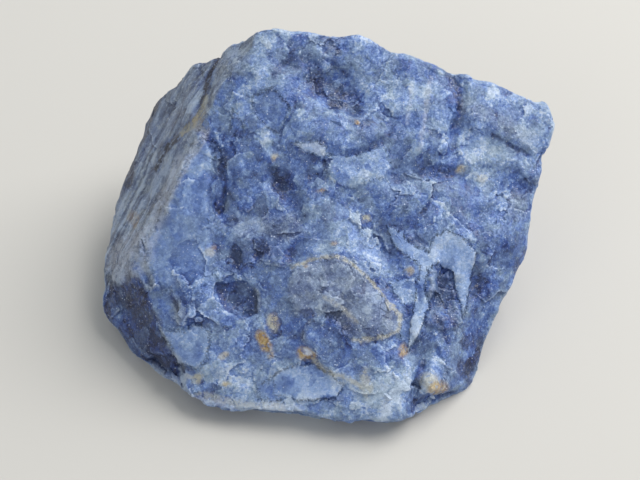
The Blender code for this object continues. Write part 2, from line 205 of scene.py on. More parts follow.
@dataclass(frozen=True)
class Chance:
    """Fields of chance that are the same each run: smooth ones, and ones made of cells."""

    seed: int = 7

    def cell_values(self, cells: np.ndarray, channel: int) -> np.ndarray:
        """A value from 0 to 1 for each whole-numbered cell.

        Args:
            cells: rows of three whole numbers.
            channel: which of the cell's values is wanted.

        Returns:
            One value for each row.
        """
        mixed = cells.astype(np.int64) @ np.array(CELL_FACTORS)
        mixed = mixed + (channel + SEED_STEP * self.seed) * CHANNEL_FACTOR
        for shift in MIX_SHIFTS:
            mixed = (mixed ^ (mixed >> shift)) * MIX_FACTOR
        return ((mixed >> LAST_SHIFT) & (CELL_STEPS - 1)) / float(CELL_STEPS)

    def cell_rows(self, cells: np.ndarray, channel: int) -> np.ndarray:
        """Three values from 0 to 1 for each cell, as rows."""
        return np.stack([self.cell_values(cells, channel + axis) for axis in range(3)], axis=1)

    @staticmethod
    def near_cells(scaled: np.ndarray) -> Iterator[np.ndarray]:
        """The cell that each point is in and the 26 around it, one after another."""
        home = np.floor(scaled).astype(np.int64)
        for step in np.ndindex(3, 3, 3):
            yield home + np.array(step) - 1

    def smooth(self, points: np.ndarray, size: float, channel: int = 0) -> np.ndarray:
        """A smooth field from -1 to 1.

        Args:
            points: rows of x, y and z.
            size: how far apart the field's own values are.
            channel: which of many such fields is wanted.

        Returns:
            The field's value at each point.
        """
        scaled = points / size
        cells = np.floor(scaled).astype(np.int64)
        share = eased(scaled - cells)
        total = np.zeros(len(points))
        for corner in np.ndindex(2, 2, 2):
            weight = np.prod(np.where(corner, share, 1.0 - share), axis=1)
            total += weight * self.cell_values(cells + np.array(corner), channel)
        return 2.0 * total - 1.0

    def layered(self, points: np.ndarray, size: float, channel: int = 0, layers: int = 3) -> np.ndarray:
        """A smooth field with finer fields on it, from about -1 to 1.

        Args:
            points: rows of x, y and z.
            size: the size of the coarsest field, of which each next one has half.
            channel: which of many such fields is wanted.
            layers: how many fields are added up.

        Returns:
            The field's value at each point.
        """
        total = np.zeros(len(points))
        for layer in range(layers):
            total += self.smooth(points, size / 2**layer, channel + LAYER_STEP * layer) / 2**layer
        return total / (2.0 - 0.5 ** (layers - 1))

    def wandered(self, places: np.ndarray, points: np.ndarray, waves: Waves, channel: int) -> np.ndarray:
        """Places shifted to and fro by smooth fields of several sizes.

        Args:
            places: rows of two or three numbers, which are shifted.
            points: rows of x, y and z, one for each place.
            waves: each field's size and reach.
            channel: which of many such shifts is wanted.

        Returns:
            The shifted places.
        """
        width = places.shape[1]
        for index, (size, reach) in enumerate(waves):
            push = [self.smooth(points, size, channel + index + AXIS_STEP * axis) for axis in range(width)]
            places = places + reach * np.stack(push, axis=1)
        return places

    def chips(
        self, points: np.ndarray, size: float, tilt: float, lift: float, dish: float, channel: int
    ) -> np.ndarray:
        """The height of a surface chipped into shallow tilted dishes that meet in sharp ridges.

        Args:
            points: rows of x, y and z.
            size: about how far apart the dishes are.
            tilt: the steepest slope that a dish has at its middle.
            lift: how far a dish's middle lies up or down.
            dish: how fast a dish rises from its middle, for each unit of distance squared.
            channel: which of many such surfaces is wanted.

        Returns:
            The height at each point.
        """
        scaled = points / size
        lowest = np.full(len(points), np.inf)
        for cells in self.near_cells(scaled):
            apart = (scaled - cells - self.cell_rows(cells, channel)) * size
            slope = 2.0 * self.cell_rows(cells, channel + 3) - 1.0
            height = dish * np.einsum("ij,ij->i", apart, apart) + tilt * np.einsum("ij,ij->i", slope, apart)
            lowest = np.minimum(lowest, height + lift * (2.0 * self.cell_values(cells, channel + 6) - 1.0))
        return lowest

    def cells(self, points: np.ndarray, size: float, channel: int = 0) -> "Cells":
        """Irregular cells that fill space, like the grains of a stone.

        Args:
            points: rows of x, y and z.
            size: about how large a cell is.
            channel: which of many such divisions is wanted.

        Returns:
            What each point finds in its cell.
        """
        scaled = points / size
        nearest = np.full(len(points), np.inf)
        owner, middle = np.zeros(scaled.shape, np.int64), np.zeros_like(scaled)
        for cells in self.near_cells(scaled):
            seeds = cells + self.cell_rows(cells, channel)
            apart = scaled - seeds
            distance = np.einsum("ij,ij->i", apart, apart)
            closer = distance < nearest
            nearest = np.where(closer, distance, nearest)
            owner[closer] = cells[closer]
            middle[closer] = seeds[closer]
        return Cells(self, channel, owner, middle * size)


@dataclass(frozen=True)
class Cells:
    """What each point finds in its cell: which cell it is, and where its middle lies."""

    chance: Chance
    channel: int
    owner: np.ndarray
    middle: np.ndarray

    def own(self, channel: int) -> np.ndarray:
        """A value from -1 to 1 that is the cell's own."""
        return 2.0 * self.chance.cell_values(self.owner, self.channel + OWN_STEP + channel) - 1.0

    def tones(self) -> np.ndarray:
        """A tone from -1 to 1 that is the cell's own, and in most cells near 0."""
        return self.own(5) ** 3

    def planes(self, points: np.ndarray, tilt: float, lift: float) -> np.ndarray:
        """The height of a flat facet in each cell.

        Args:
            points: rows of x, y and z.
            tilt: the steepest slope that a facet has.
            lift: how far a facet's middle lies up or down.

        Returns:
            The height at each point.
        """
        slope = np.stack([self.own(axis) for axis in range(3)], axis=1)
        return tilt * np.einsum("ij,ij->i", slope, points - self.middle) + lift * self.own(3)


@dataclass(frozen=True)
class Patches:
    """Patches that chance lays over the stone: their size, and the band of chance in which they fade in."""

    channel: Channel
    size: float
    band: Band

    def share(self, chance: Chance, points: np.ndarray) -> np.ndarray:
        """How far each point belongs to the patches, from 0 to 1."""
        return smooth_step(*self.band, chance.layered(points, self.size, self.channel))


@dataclass(frozen=True)
class Area:
    """A closed outline on the front, as the eye sees it, whose edge is this soft."""

    outline: Line
    soft: float = 0.5

    def share(self, places: np.ndarray) -> np.ndarray:
        """How far each place belongs to the area, from 0 to 1."""
        inside = np.zeros(len(places), bool)
        for (x0, y0), (x1, y1) in zip(self.outline, self.outline[1:] + self.outline[:1]):
            if y0 != y1:
                crosses = (y0 > places[:, 1]) != (y1 > places[:, 1])
                inside ^= crosses & (places[:, 0] < x0 + (places[:, 1] - y0) * (x1 - x0) / (y1 - y0))
        gap = distance_to_line(places, self.outline + self.outline[:1])
        return smooth_step(-self.soft, self.soft, np.where(inside, gap, -gap))


@dataclass(frozen=True)
class Vein:
    """A band along a line on the front, as the eye sees it."""

    line: Line
    half_width: float = 0.5
    fade: Band = (1.3, 0.5)

    def share(self, places: np.ndarray) -> np.ndarray:
        """How far each place belongs to the band, from 0 to 1."""
        return smooth_step(*self.fade, distance_to_line(places, self.line) / self.half_width)


@dataclass(frozen=True)
class Spot:
    """A rounded spot on the front: its middle, its half length and half width, and its turn in degrees."""

    at: Place
    half: Place
    turn: float = 0.0
    fade: Band = (1.3, 0.6)

    def share(self, places: np.ndarray) -> np.ndarray:
        """How far each place belongs to the spot, from 0 to 1."""
        cos, sin = math.cos(math.radians(self.turn)), math.sin(math.radians(self.turn))
        apart = places - np.array(self.at)
        along = (apart @ np.array((cos, sin))) / self.half[0]
        across = (apart @ np.array((-sin, cos))) / self.half[1]
        return smooth_step(*self.fade, np.hypot(along, across))


def distance_to_line(places: np.ndarray, line: Line) -> np.ndarray:
    """How far each place is from the nearest point of a line of straight stretches.

    Args:
        places: rows of right and up.
        line: the line's points.

    Returns:
        The distance for each place.
    """
    nearest = np.full(len(places), np.inf)
    for start, end in zip(line[:-1], line[1:]):
        along = np.array(end) - np.array(start)
        share = np.clip((places - np.array(start)) @ along / (along @ along), 0.0, 1.0)
        gap = places - np.array(start) - share[:, None] * along
        nearest = np.minimum(nearest, np.hypot(gap[:, 0], gap[:, 1]))
    return nearest


@dataclass(frozen=True)
class Streaks:
    """Fine grooves and streaks that run one way over an area of the front, as the eye sees it."""

    area: Area
    toward: Place
    size: float
    tone: float
    relief: float
    stretch: float = 16.0

    def strength(self, chance: Chance, sight: np.ndarray) -> np.ndarray:
        """How strong the streaks are at each point, from about -1 to 1.

        Args:
            chance: the field of chance that they come from.
            sight: rows of right, up and out on the eye's own axes.

        Returns:
            The strength, before it is held to the area.
        """
        toward = np.array((*self.toward, 0.0)) / math.hypot(*self.toward)
        along = sight @ toward
        drawn_in = sight - (1.0 - 1.0 / self.stretch) * along[:, None] * toward
        return chance.layered(drawn_in, self.size, Channel.STREAKS)


class Tint(Enum):
    """What a mark on the stone is made of; the depth also carries painted shade. The value is the mesh
    attribute that carries it.
    """

    DEPTH = "depth_and_shade"
    GREY = "grey"
    OCHRE = "ochre"
    CREAM = "cream"
    BROWN = "brown_and_shade"
    FROST_AND_GLINT = "frost_and_glint"
    CLEAR = "clear"


@dataclass(frozen=True)
class Mark:
    """A mark on the broad face: how much of a tint it has, how far it stands up, and how smooth its stone is.

    A depth below 0 is paler stone, and one above 0 is darker: clearer crystal, and at some marks painted
    shade. The lift is in millimetres.
    """

    tint: Tint
    amount: float
    shape: Area | Vein | Spot
    lift: float = 0.0
    clear: float = 0.0


DEPTH, GREY, OCHRE, CREAM, BROWN, FROST_AND_GLINT, CLEAR = Tint

LEFT_FACE = Area((
    (-16.0, 42.0), (-17.5, 37.0), (-19.0, 32.0), (-19.8, 28.0), (-22.0, 23.5), (-25.0, 17.0), (-29.0, 11.0),
    (-33.0, 5.5), (-38.0, 5.0), (-38.0, 20.0), (-28.0, 38.0), (-18.0, 46.0)), 0.8)
RIGHT_LOBE = Area((
    (16.0, -1.0), (22.0, 0.0), (26.5, 0.0), (27.5, -3.0), (25.0, -10.0), (22.0, -12.0), (19.5, -7.0),
    (16.5, -4.0)), 0.8)
UPPER_RIGHT = Area(((11.0, 37.0), (18.0, 37.0), (20.0, 31.0), (19.0, 24.5), (12.5, 24.5)), 1.0)
KNOB = Area(((-25.0, 15.0), (-18.0, 12.0), (-17.5, 26.0), (-20.0, 26.0)), 1.0)

# Where the stone is grooved and streaked.
STREAKS: tuple[Streaks, ...] = (
    Streaks(LEFT_FACE, (-0.45, -0.89), 0.9, 0.42, 0.08),
    Streaks(RIGHT_LOBE, (0.57, -0.82), 0.7, 0.34, 0.10),
    Streaks(UPPER_RIGHT, (-0.12, 1.0), 0.9, 0.20, 0.10),
    Streaks(KNOB, (0.35, 1.0), 1.0, 0.18, 0.04),
)

# Where the knob at the left runs on down without a ledge.
EVEN = Area(((-24.4, 17.5), (-19.2, 16.8), (-18.6, 9.0), (-26.8, 9.0)), 1.1)

# The marks of the broad face and of the left face, some of them painted shade and one a painted glint: first
# place by place, then broad tones and ochre spots.
MARKS: tuple[Mark, ...] = (
    # The peak and the field under it.
    Mark(DEPTH, -0.04, Area(((-10.8, 43.6), (-7.2, 43.6), (-8.4, 38.5), (-10.6, 35.2), (-12.6, 36.6)))),
    Mark(GREY, 0.5, Area(((-10.8, 43.5), (-12.5, 36.5), (-16.5, 35.5), (-17.0, 39.0), (-15.0, 42.0)), 0.8)),
    Mark(DEPTH, -0.10, Area((
        (-17.0, 31.0), (-16.0, 35.0), (-12.5, 36.5), (-8.0, 38.0), (-5.5, 30.0), (-7.5, 25.0),
        (-9.0, 23.5), (-15.0, 26.0)), 1.0)),
    Mark(DEPTH, -0.16, Spot((-12.5, 31.5), (2.2, 1.2), 30.0)),
    Mark(DEPTH, -0.16, Spot((-9.8, 26.6), (1.8, 1.0), -20.0)),
    Mark(DEPTH, 0.18, Vein(((-4.4, 32.6), (-5.2, 30.4), (-6.7, 28.2), (-7.2, 26.0)), 0.22), -0.08),
    Mark(DEPTH, 0.09, Area((
        (-11.3, 33.0), (-8.0, 34.6), (-5.6, 31.4), (-7.0, 27.6), (-9.0, 28.6), (-10.8, 30.6)), 0.3), 0.0,
        0.35),
    Mark(DEPTH, 0.12, Area(((-15.2, 27.4), (-14.3, 31.0), (-12.8, 28.6), (-13.0, 26.8)), 0.3), 0.0, 0.35),
    # The deep crystals of the upper hollow.
    Mark(DEPTH, 0.34, Area(((0.2, 31.0), (5.4, 31.0), (6.0, 33.6), (3.4, 35.6), (0.6, 35.2)), 0.7)),
    Mark(DEPTH, 0.30, Area(((-2.8, 33.0), (0.5, 33.4), (0.2, 36.4), (-0.6, 38.6), (-2.6, 37.6)), 0.6)),
    Mark(BROWN, 0.25, Area(((-2.4, 34.0), (0.0, 34.2), (-0.4, 37.8), (-2.2, 37.0)), 0.6)),
    Mark(DEPTH, 0.24, Spot((-4.0, 38.6), (2.2, 1.4), 10.0)),
    Mark(DEPTH, 0.30, Spot((3.3, 36.8), (0.8, 0.7))),
    Mark(DEPTH, 0.22, Vein(((2.0, 40.0), (2.0, 42.0)), 0.5)),
    Mark(DEPTH, -0.12, Area(((4.0, 36.0), (9.0, 35.0), (9.5, 40.5), (5.0, 42.0), (3.0, 39.0)), 1.2)),
    # The tongue, with painted shadow along its under-edge, and the pale plates below it.
    Mark(DEPTH, 0.05, Area((
        (0.0, 30.5), (6.0, 30.0), (9.0, 27.0), (6.0, 25.5), (2.0, 24.7), (0.0, 26.0), (-3.0, 27.5),
        (-3.0, 30.0)), 0.8)),
    # Painted shadow under the tongue's overhanging edge.
    Mark(DEPTH, 0.20, Vein((
        (-0.5, 25.7), (2.0, 24.6), (4.0, 24.4), (7.0, 25.2), (9.5, 26.8)), 0.65), -0.08),
    Mark(OCHRE, 0.8, Spot((5.0, 29.0), (0.4, 0.3))),
    Mark(DEPTH, -0.34, Area((
        (-5.2, 25.9), (-1.0, 26.1), (0.1, 25.3), (-0.3, 23.6), (-3.6, 24.6)), 0.3), 0.1, 0.4),
    Mark(FROST_AND_GLINT, 0.3, Area(((-5.0, 25.8), (-1.0, 26.0), (0.0, 25.3), (-0.4, 24.0), (-3.6, 24.8)), 0.2)),
    Mark(DEPTH, -0.30, Area(((-0.8, 23.6), (0.3, 22.2), (-0.4, 20.8), (-2.2, 22.0)), 0.4), 0.0, 0.3),
    Mark(DEPTH, -0.18, Area((
        (0.0, 24.3), (3.5, 23.9), (6.5, 24.7), (9.6, 25.4), (10.4, 22.6), (9.0, 20.5), (6.0, 20.0),
        (5.0, 19.0), (3.0, 19.1), (1.0, 20.0), (0.4, 21.5)), 0.3), 0.2, 0.25),
    Mark(DEPTH, 0.28, Spot((-1.0, 20.4), (1.4, 1.0))),
    Mark(OCHRE, 0.7, Spot((-0.5, 18.6), (0.7, 0.3), 10.0)),
    Mark(CREAM, 0.6, Spot((-8.0, 24.0), (0.6, 0.5))),
    Mark(OCHRE, 0.5, Spot((-8.1, 23.6), (0.4, 0.5))),
    # The upper right fields.
    Mark(DEPTH, -0.03, Area((
        (9.0, 41.5), (14.0, 39.3), (17.5, 38.8), (19.5, 36.0), (20.5, 31.0), (19.5, 25.0), (16.0, 23.5),
        (13.0, 24.0), (11.0, 28.0), (10.0, 33.0), (8.0, 37.0)), 0.8)),
    Mark(FROST_AND_GLINT, 0.35, Vein(((16.5, 36.0), (15.8, 31.0), (15.0, 25.0)), 0.4)),
    Mark(FROST_AND_GLINT, 0.3, Vein(((13.5, 35.0), (13.0, 29.0)), 0.35)),
    Mark(DEPTH, 0.24, Spot((12.5, 38.2), (1.6, 1.0), -20.0)),
    Mark(DEPTH, 0.24, Vein(((18.6, 38.2), (20.4, 34.5), (21.4, 31.0), (20.6, 28.5), (20.0, 25.2)), 0.7)),
    Mark(DEPTH, -0.12, Area((
        (21.0, 36.8), (28.0, 35.2), (33.6, 32.0), (35.0, 28.0), (33.4, 22.4), (30.0, 24.0), (26.0, 25.0),
        (21.5, 25.0)), 0.8)),
    Mark(GREY, 0.45, Vein(((22.0, 32.0), (26.5, 30.0), (32.0, 26.5)), 1.4)),
    Mark(DEPTH, 0.28, Vein(((26.3, 27.2), (29.0, 25.6), (31.5, 24.4)), 0.4), -0.1),
    Mark(DEPTH, 0.22, Spot((32.5, 29.2), (0.9, 1.2))),
    Mark(DEPTH, -0.22, Area(((26.0, 25.2), (33.0, 22.8), (33.2, 21.2), (27.0, 22.2)), 0.6)),
    Mark(DEPTH, -0.26, Area(((18.0, 23.4), (21.0, 24.9), (26.5, 25.4), (27.0, 23.2), (20.8, 22.4)), 0.5)),
    Mark(DEPTH, 0.20, Area(((14.0, 22.6), (18.0, 22.6), (20.6, 21.2), (19.0, 20.2), (14.5, 20.6)), 0.6)),
    Mark(CREAM, 0.7, Spot((21.2, 22.0), (1.0, 0.6), 20.0)),
    Mark(OCHRE, 0.5, Spot((21.0, 22.1), (0.6, 0.35), 20.0)),
    Mark(CREAM, 0.5, Spot((24.5, 20.5), (0.8, 0.6))),
    # The right field, the diagonal ledge and the web.
    Mark(GREY, 0.4, Spot((30.0, 16.0), (1.8, 2.6), 10.0)),
    Mark(DEPTH, 0.18, Area(((25.0, 11.0), (30.6, 11.5), (29.0, 6.0), (25.4, 5.4)), 0.9)),
    # Painted shadow along the foot of the diagonal ledge, on its lower left side.
    Mark(DEPTH, 0.05, Area((
        (4.6, 18.4), (6.6, 16.2), (9.2, 14.4), (10.4, 11.0), (11.0, 8.2), (13.0, 5.8), (10.5, 5.6),
        (8.5, 7.4), (7.2, 10.5), (5.0, 13.4), (3.2, 16.2)), 0.8)),
    Mark(CREAM, 0.8, Spot((6.4, 14.2), (0.8, 0.7))),
    Mark(OCHRE, 0.55, Spot((1.5, 10.2), (0.5, 0.35))),
    Mark(CREAM, 0.5, Spot((13.2, 6.0), (0.7, 0.6))),
    Mark(OCHRE, 0.4, Spot((13.2, 6.0), (0.7, 0.6))),
    Mark(DEPTH, -0.26, Area((
        (9.6, 13.2), (11.5, 12.2), (13.0, 10.6), (14.7, 9.3), (16.4, 8.7), (17.0, 11.5), (18.6, 12.2),
        (21.0, 11.4), (23.6, 8.8), (23.2, 6.0), (22.6, 3.0), (21.7, -1.3), (21.0, 1.7), (20.4, 4.4),
        (19.6, 6.2), (18.2, 6.6), (17.6, 7.4), (16.1, 6.2), (15.6, 3.3), (15.9, 0.1), (15.5, -2.3),
        (13.6, -5.4), (12.7, -6.6), (13.3, -2.3), (13.9, 0.5), (14.5, 4.6), (15.0, 6.8), (13.2, 8.2),
        (11.2, 9.6), (10.2, 11.6)), 0.16), 0.14, 0.7),
    Mark(DEPTH, 0.30, Area(((13.1, 10.9), (14.7, 11.9), (15.9, 10.4), (16.5, 8.8), (14.7, 9.4)), 0.3), 0.2),
    Mark(DEPTH, 0.30, Area((
        (16.3, 5.8), (17.2, 6.4), (17.6, 7.8), (18.2, 5.4), (19.3, 6.0), (19.5, 4.2), (20.4, 3.4),
        (20.5, 0.9), (21.6, -2.3), (19.0, -3.6), (16.2, -2.6), (15.8, 0.6)), 0.25), 0.45),
    Mark(DEPTH, 0.30, Area((
        (22.8, 5.4), (24.2, 6.0), (25.6, 4.6), (25.8, 2.0), (24.4, 0.8), (22.6, 0.8)), 0.5)),
    Mark(DEPTH, 0.30, Area(((14.4, 4.2), (15.3, 3.6), (15.2, 0.8), (14.4, 1.2)), 0.3)),
    Mark(DEPTH, -0.26, Area((
        (10.0, 4.5), (14.0, 5.0), (14.5, 1.0), (12.5, 0.5), (11.5, 1.5)), 0.3), 0.15, 0.3),
    Mark(DEPTH, -0.06, Area((
        (11.5, -5.0), (12.0, -1.5), (15.0, -1.0), (15.0, -4.0), (13.0, -6.0)), 0.3), 0.1, 0.3),
    Mark(DEPTH, 0.30, Spot((13.4, 0.0), (1.1, 0.8))),
    Mark(DEPTH, 0.26, Spot((8.5, 4.0), (1.6, 0.9), -30.0)),
    # The lower right lobe and the notch.
    Mark(DEPTH, 0.05, Area((
        (16.0, -1.0), (22.0, 0.0), (26.0, 0.0), (26.5, -3.0), (24.4, -9.0), (22.0, -11.5), (20.0, -7.0),
        (16.5, -4.0)), 0.8)),
    Mark(DEPTH, 0.24, Spot((21.5, -9.4), (1.2, 2.0), 20.0)),
    Mark(BROWN, 0.35, Vein(((25.0, -5.0), (24.0, -8.0), (22.6, -11.0)), 0.9)),
    Mark(CREAM, 0.65, Spot((16.4, -11.4), (1.8, 1.4), -20.0)),
    Mark(OCHRE, 0.7, Spot((17.6, -12.6), (1.7, 1.4), 15.0)),
    Mark(DEPTH, 0.30, Vein(((15.3, -8.5), (14.8, -10.5), (14.1, -13.0), (13.8, -15.5)), 0.6), -0.1),
    Mark(DEPTH, 0.0, Area(((14.2, -14.0), (20.0, -13.0), (20.0, -18.0), (14.2, -18.5)), 0.8), -1.1),
    # The domed grey plate with its cream rim, and its deep blue middle.
    Mark(GREY, 0.75, Area((
        (-5.0, 6.0), (-2.5, 7.2), (1.5, 8.2), (4.0, 6.8), (6.5, 4.8), (8.5, 2.5), (10.3, 0.3),
        (11.7, -1.0), (11.5, -3.0), (10.5, -4.0), (7.0, -4.6), (4.5, -4.8), (1.0, -1.0), (-3.0, -1.0),
        (-4.5, -1.0), (-6.0, 3.0)), 0.7), 0.0, 0.35),
    Mark(CREAM, 0.65, Vein((
        (-5.0, 6.4), (-2.5, 7.6), (1.5, 8.4), (4.0, 7.1), (6.5, 5.1), (8.6, 2.8), (10.5, 0.5),
        (11.8, -1.0), (11.5, -3.2), (8.0, -4.6), (4.6, -4.9)), 0.3)),
    Mark(CREAM, 0.35, Vein(((0.0, 2.0), (2.5, 0.4), (5.0, -2.0)), 0.4)),
    Mark(DEPTH, 0.26, Spot((2.0, -2.6), (3.6, 2.5), -10.0)),
    Mark(CREAM, 0.6, Vein(((-2.0, -8.0), (0.0, -9.3), (2.0, -10.3), (4.0, -11.0), (5.5, -12.0)), 0.4)),
    Mark(DEPTH, -0.11, Area((
        (-8.0, -10.5), (-5.5, -8.8), (-1.5, -8.7), (1.0, -10.0), (2.8, -12.0), (2.0, -14.0),
        (-3.0, -14.5), (-8.0, -13.5)), 0.25), 0.15, 0.7),
    Mark(DEPTH, 0.10, Area((
        (-10.5, -12.0), (-8.0, -10.5), (-5.0, -11.5), (-6.0, -14.5), (-10.0, -14.0)), 0.4), 0.0, 0.5),
    Mark(DEPTH, 0.22, Spot((-6.5, -11.5), (1.6, 1.3))),
    Mark(CREAM, 0.5, Spot((6.5, -11.5), (1.0, 2.4))),
    Mark(DEPTH, 0.4, Vein(((-0.5, -14.0), (2.5, -14.1)), 0.35)),
    Mark(FROST_AND_GLINT, 0.3, Vein(((-20.0, -14.4), (-14.0, -15.2), (-8.0, -15.4), (-4.0, -15.6)), 0.6)),
    Mark(CREAM, 0.4, Vein(((-20.0, -13.4), (-14.0, -14.6), (-7.0, -15.2)), 0.6)),
    Mark(DEPTH, -0.22, Area((
        (10.0, -8.0), (12.0, -9.0), (13.5, -11.0), (13.8, -14.0), (12.0, -16.0), (9.0, -17.0),
        (7.4, -14.0), (8.2, -10.5)), 0.6)),
    # The left part of the broad face.
    Mark(DEPTH, -0.04, Area((
        (-19.0, 27.0), (-17.6, 26.2), (-17.4, 22.0), (-17.8, 17.0), (-18.0, 12.0), (-18.5, 4.0),
        (-27.0, 3.5), (-28.0, 10.0), (-25.0, 17.0), (-21.5, 23.0)), 0.8), 0.2, 0.55),
    Mark(FROST_AND_GLINT, 0.35, Vein(((-22.4, 23.0), (-24.6, 18.0), (-26.0, 14.5), (-27.5, 10.0)), 1.2)),
    # The groove right of the knob: partly dark crystal and partly painted shade beside the raised knob.
    Mark(DEPTH, 0.24, Vein(((-18.4, 27.6), (-17.0, 24.4), (-16.2, 20.0), (-16.4, 15.5)), 0.9), -0.25),
    Mark(DEPTH, -0.08, Area(((-26.0, 3.0), (-17.0, 3.0), (-17.0, 13.0), (-25.5, 14.0)), 1.5), 0.0, 0.5),
    Mark(DEPTH, -0.14, Area((
        (-26.0, -3.0), (-22.0, -3.5), (-20.5, -2.5), (-18.0, -3.5), (-18.5, -8.0), (-20.0, -9.3),
        (-23.0, -8.5), (-24.5, -5.5)), 0.4), 0.2, 0.6),
    Mark(DEPTH, 0.24, Spot((-19.8, -6.5), (0.7, 1.5))),
    Mark(DEPTH, 0.30, Vein(((-24.0, 2.0), (-22.5, -0.5), (-20.0, -2.0), (-18.3, -1.6)), 0.4)),
    Mark(DEPTH, 0.22, Area((
        (-17.0, 4.0), (-12.0, 4.2), (-10.5, 2.0), (-10.7, -0.5), (-13.0, -1.7), (-15.5, -0.3),
        (-16.5, 1.0)), 0.25), -0.2),
    Mark(DEPTH, 0.14, Area(((-12.2, 2.6), (-10.8, 2.0), (-10.9, -0.6), (-12.4, -0.8)), 0.3)),
    Mark(DEPTH, 0.14, Area(((-16.8, 3.6), (-15.0, 4.0), (-15.6, 0.4), (-16.4, 0.8)), 0.3)),
    Mark(DEPTH, 0.24, Spot((-14.5, 13.5), (1.6, 1.0), 20.0)),
    Mark(DEPTH, 0.20, Spot((-16.5, 10.0), (0.9, 1.2))),
    Mark(DEPTH, 0.20, Area(((-15.0, 10.6), (-13.4, 9.8), (-12.0, 6.4), (-13.2, 5.4), (-14.4, 7.6)), 0.25)),
    Mark(DEPTH, 0.18, Area(((-11.6, 11.0), (-9.8, 11.6), (-8.4, 9.4), (-9.4, 7.8), (-11.0, 8.8)), 0.25)),
    Mark(DEPTH, 0.24, Spot((-5.5, 8.5), (1.0, 1.4))),
    Mark(DEPTH, 0.18, Area((
        (-9.5, 22.0), (-6.3, 22.0), (-5.5, 19.0), (-3.8, 16.5), (-3.0, 13.0), (-4.5, 13.0), (-5.5, 15.5),
        (-8.0, 19.0)), 0.6)),
    Mark(GREY, 0.5, Area((
        (-15.0, 14.5), (-9.0, 14.5), (-5.0, 15.0), (-3.0, 12.0), (-6.0, 10.5), (-10.0, 11.5),
        (-14.0, 11.0)), 0.8)),
    Mark(DEPTH, 0.26, Vein(((-15.6, 19.0), (-14.8, 17.6), (-14.0, 16.2)), 0.5)),
    Mark(FROST_AND_GLINT, 0.45, Vein((
        (-18.5, 28.0), (-21.5, 23.0), (-25.0, 16.5), (-29.0, 10.5), (-33.0, 5.0)), 0.7)),
    # The facet at the lower left, which faces down: the dark depth and the dark brown on it are painted
    # shade, with a brownish tone in its upper part.
    Mark(DEPTH, 0.33, Area((
        (-36.0, 3.6), (-34.2, 5.4), (-32.4, 3.6), (-30.4, 5.6), (-28.5, 4.2), (-26.6, 0.0), (-25.4, -4.5),
        (-23.2, -9.0), (-22.6, -12.5), (-30.0, -10.0), (-37.0, -2.0)), 0.4), -0.2),
    Mark(DEPTH, 0.0, Area((
        (-27.5, -7.0), (-23.6, -7.5), (-22.8, -10.0), (-23.0, -13.0), (-28.0, -11.0)), 0.5), -0.9),
    Mark(BROWN, 0.2, Area((
        (-36.0, 3.0), (-31.5, 4.0), (-28.5, 3.6), (-26.8, 0.0), (-25.6, -4.5), (-23.4, -9.0),
        (-22.8, -12.5), (-30.0, -10.0), (-37.0, -2.0)), 0.5)),
    Mark(BROWN, 0.6, Area((
        (-31.5, 3.5), (-29.5, 4.4), (-27.4, 2.0), (-26.8, -2.0), (-29.5, -3.5), (-31.5, -0.5)), 0.7)),
    Mark(DEPTH, 0.35, Vein(((-23.0, -8.8), (-21.0, -9.8), (-19.4, -11.6)), 0.5)),
    Mark(CREAM, 0.5, Vein(((-21.6, -10.6), (-19.8, -11.4)), 0.5)),
    # The left face.
    Mark(GREY, 0.7, LEFT_FACE, 0.0, 0.4),
    Mark(BROWN, 0.9, Vein((
        (-16.5, 41.0), (-17.5, 38.0), (-19.0, 34.0), (-19.7, 30.0), (-21.5, 28.5), (-24.0, 26.0),
        (-26.5, 22.0)), 0.5)),
    Mark(CREAM, 0.5, Vein(((-18.6, 33.0), (-19.4, 30.5), (-20.6, 28.8), (-22.5, 27.6)), 0.5)),
    Mark(OCHRE, 0.2, Spot((-19.7, 29.0), (1.0, 1.4), 20.0)),
    Mark(OCHRE, 0.3, Spot((-30.0, 14.0), (0.9, 1.4), 20.0)),
    Mark(FROST_AND_GLINT, 0.3, Area((
        (-34.5, 9.0), (-31.0, 12.0), (-27.5, 13.0), (-26.5, 8.0), (-28.5, 4.8), (-34.0, 4.2)), 0.8)),
    Mark(BROWN, 0.7, Vein(((-27.0, 31.5), (-29.5, 26.0), (-31.0, 20.0)), 1.2)),
    # Broad differences of tone.
    Mark(DEPTH, -0.21, Area((
        (-1.0, 17.5), (4.0, 18.5), (12.0, 8.0), (10.0, 4.0), (5.0, 7.5), (-2.0, 9.0)), 1.5)),
    Mark(DEPTH, -0.06, Area((
        (14.0, 20.0), (27.0, 21.5), (31.0, 12.0), (28.0, 4.0), (24.0, 7.0), (17.0, 13.0)), 1.5)),
    Mark(DEPTH, -0.20, Area((
        (-24.0, -9.5), (-10.0, -8.0), (5.0, -10.0), (12.0, -9.0), (13.0, -18.0), (-20.0, -16.0)), 1.5)),
    Mark(DEPTH, -0.10, Area((
        (-23.0, 3.0), (-16.0, 4.0), (-10.0, -3.0), (-18.0, -9.0), (-25.0, -4.0)), 1.5)),
    # Ochre, rust and orange spots, and a painted glint in the gold one.
    Mark(OCHRE, 0.9, Spot((-9.5, -5.0), (1.9, 0.9), -65.0)),
    Mark(OCHRE, 0.6, Spot((-8.4, -7.2), (0.7, 0.6))),
    Mark(OCHRE, 0.9, Spot((-3.0, -7.0), (1.6, 1.1), -15.0)),
    # Painted glint: a white highlight in the middle of the gold spot.
    Mark(FROST_AND_GLINT, 1.0, Spot((-2.8, -6.7), (0.85, 0.6), -30.0)),
    Mark(BROWN, 0.5, Spot((-9.3, -5.6), (0.4, 0.5), -65.0)),
    Mark(CREAM, 0.7, Spot((-8.3, -2.0), (0.8, 1.4), 20.0)),
    Mark(OCHRE, 0.3, Spot((-8.0, -1.6), (0.6, 1.2), 20.0)),
    Mark(OCHRE, 0.7, Spot((12.0, -6.5), (0.8, 1.1))),
    Mark(OCHRE, 0.5, Spot((-3.0, 6.8), (0.5, 0.4))),
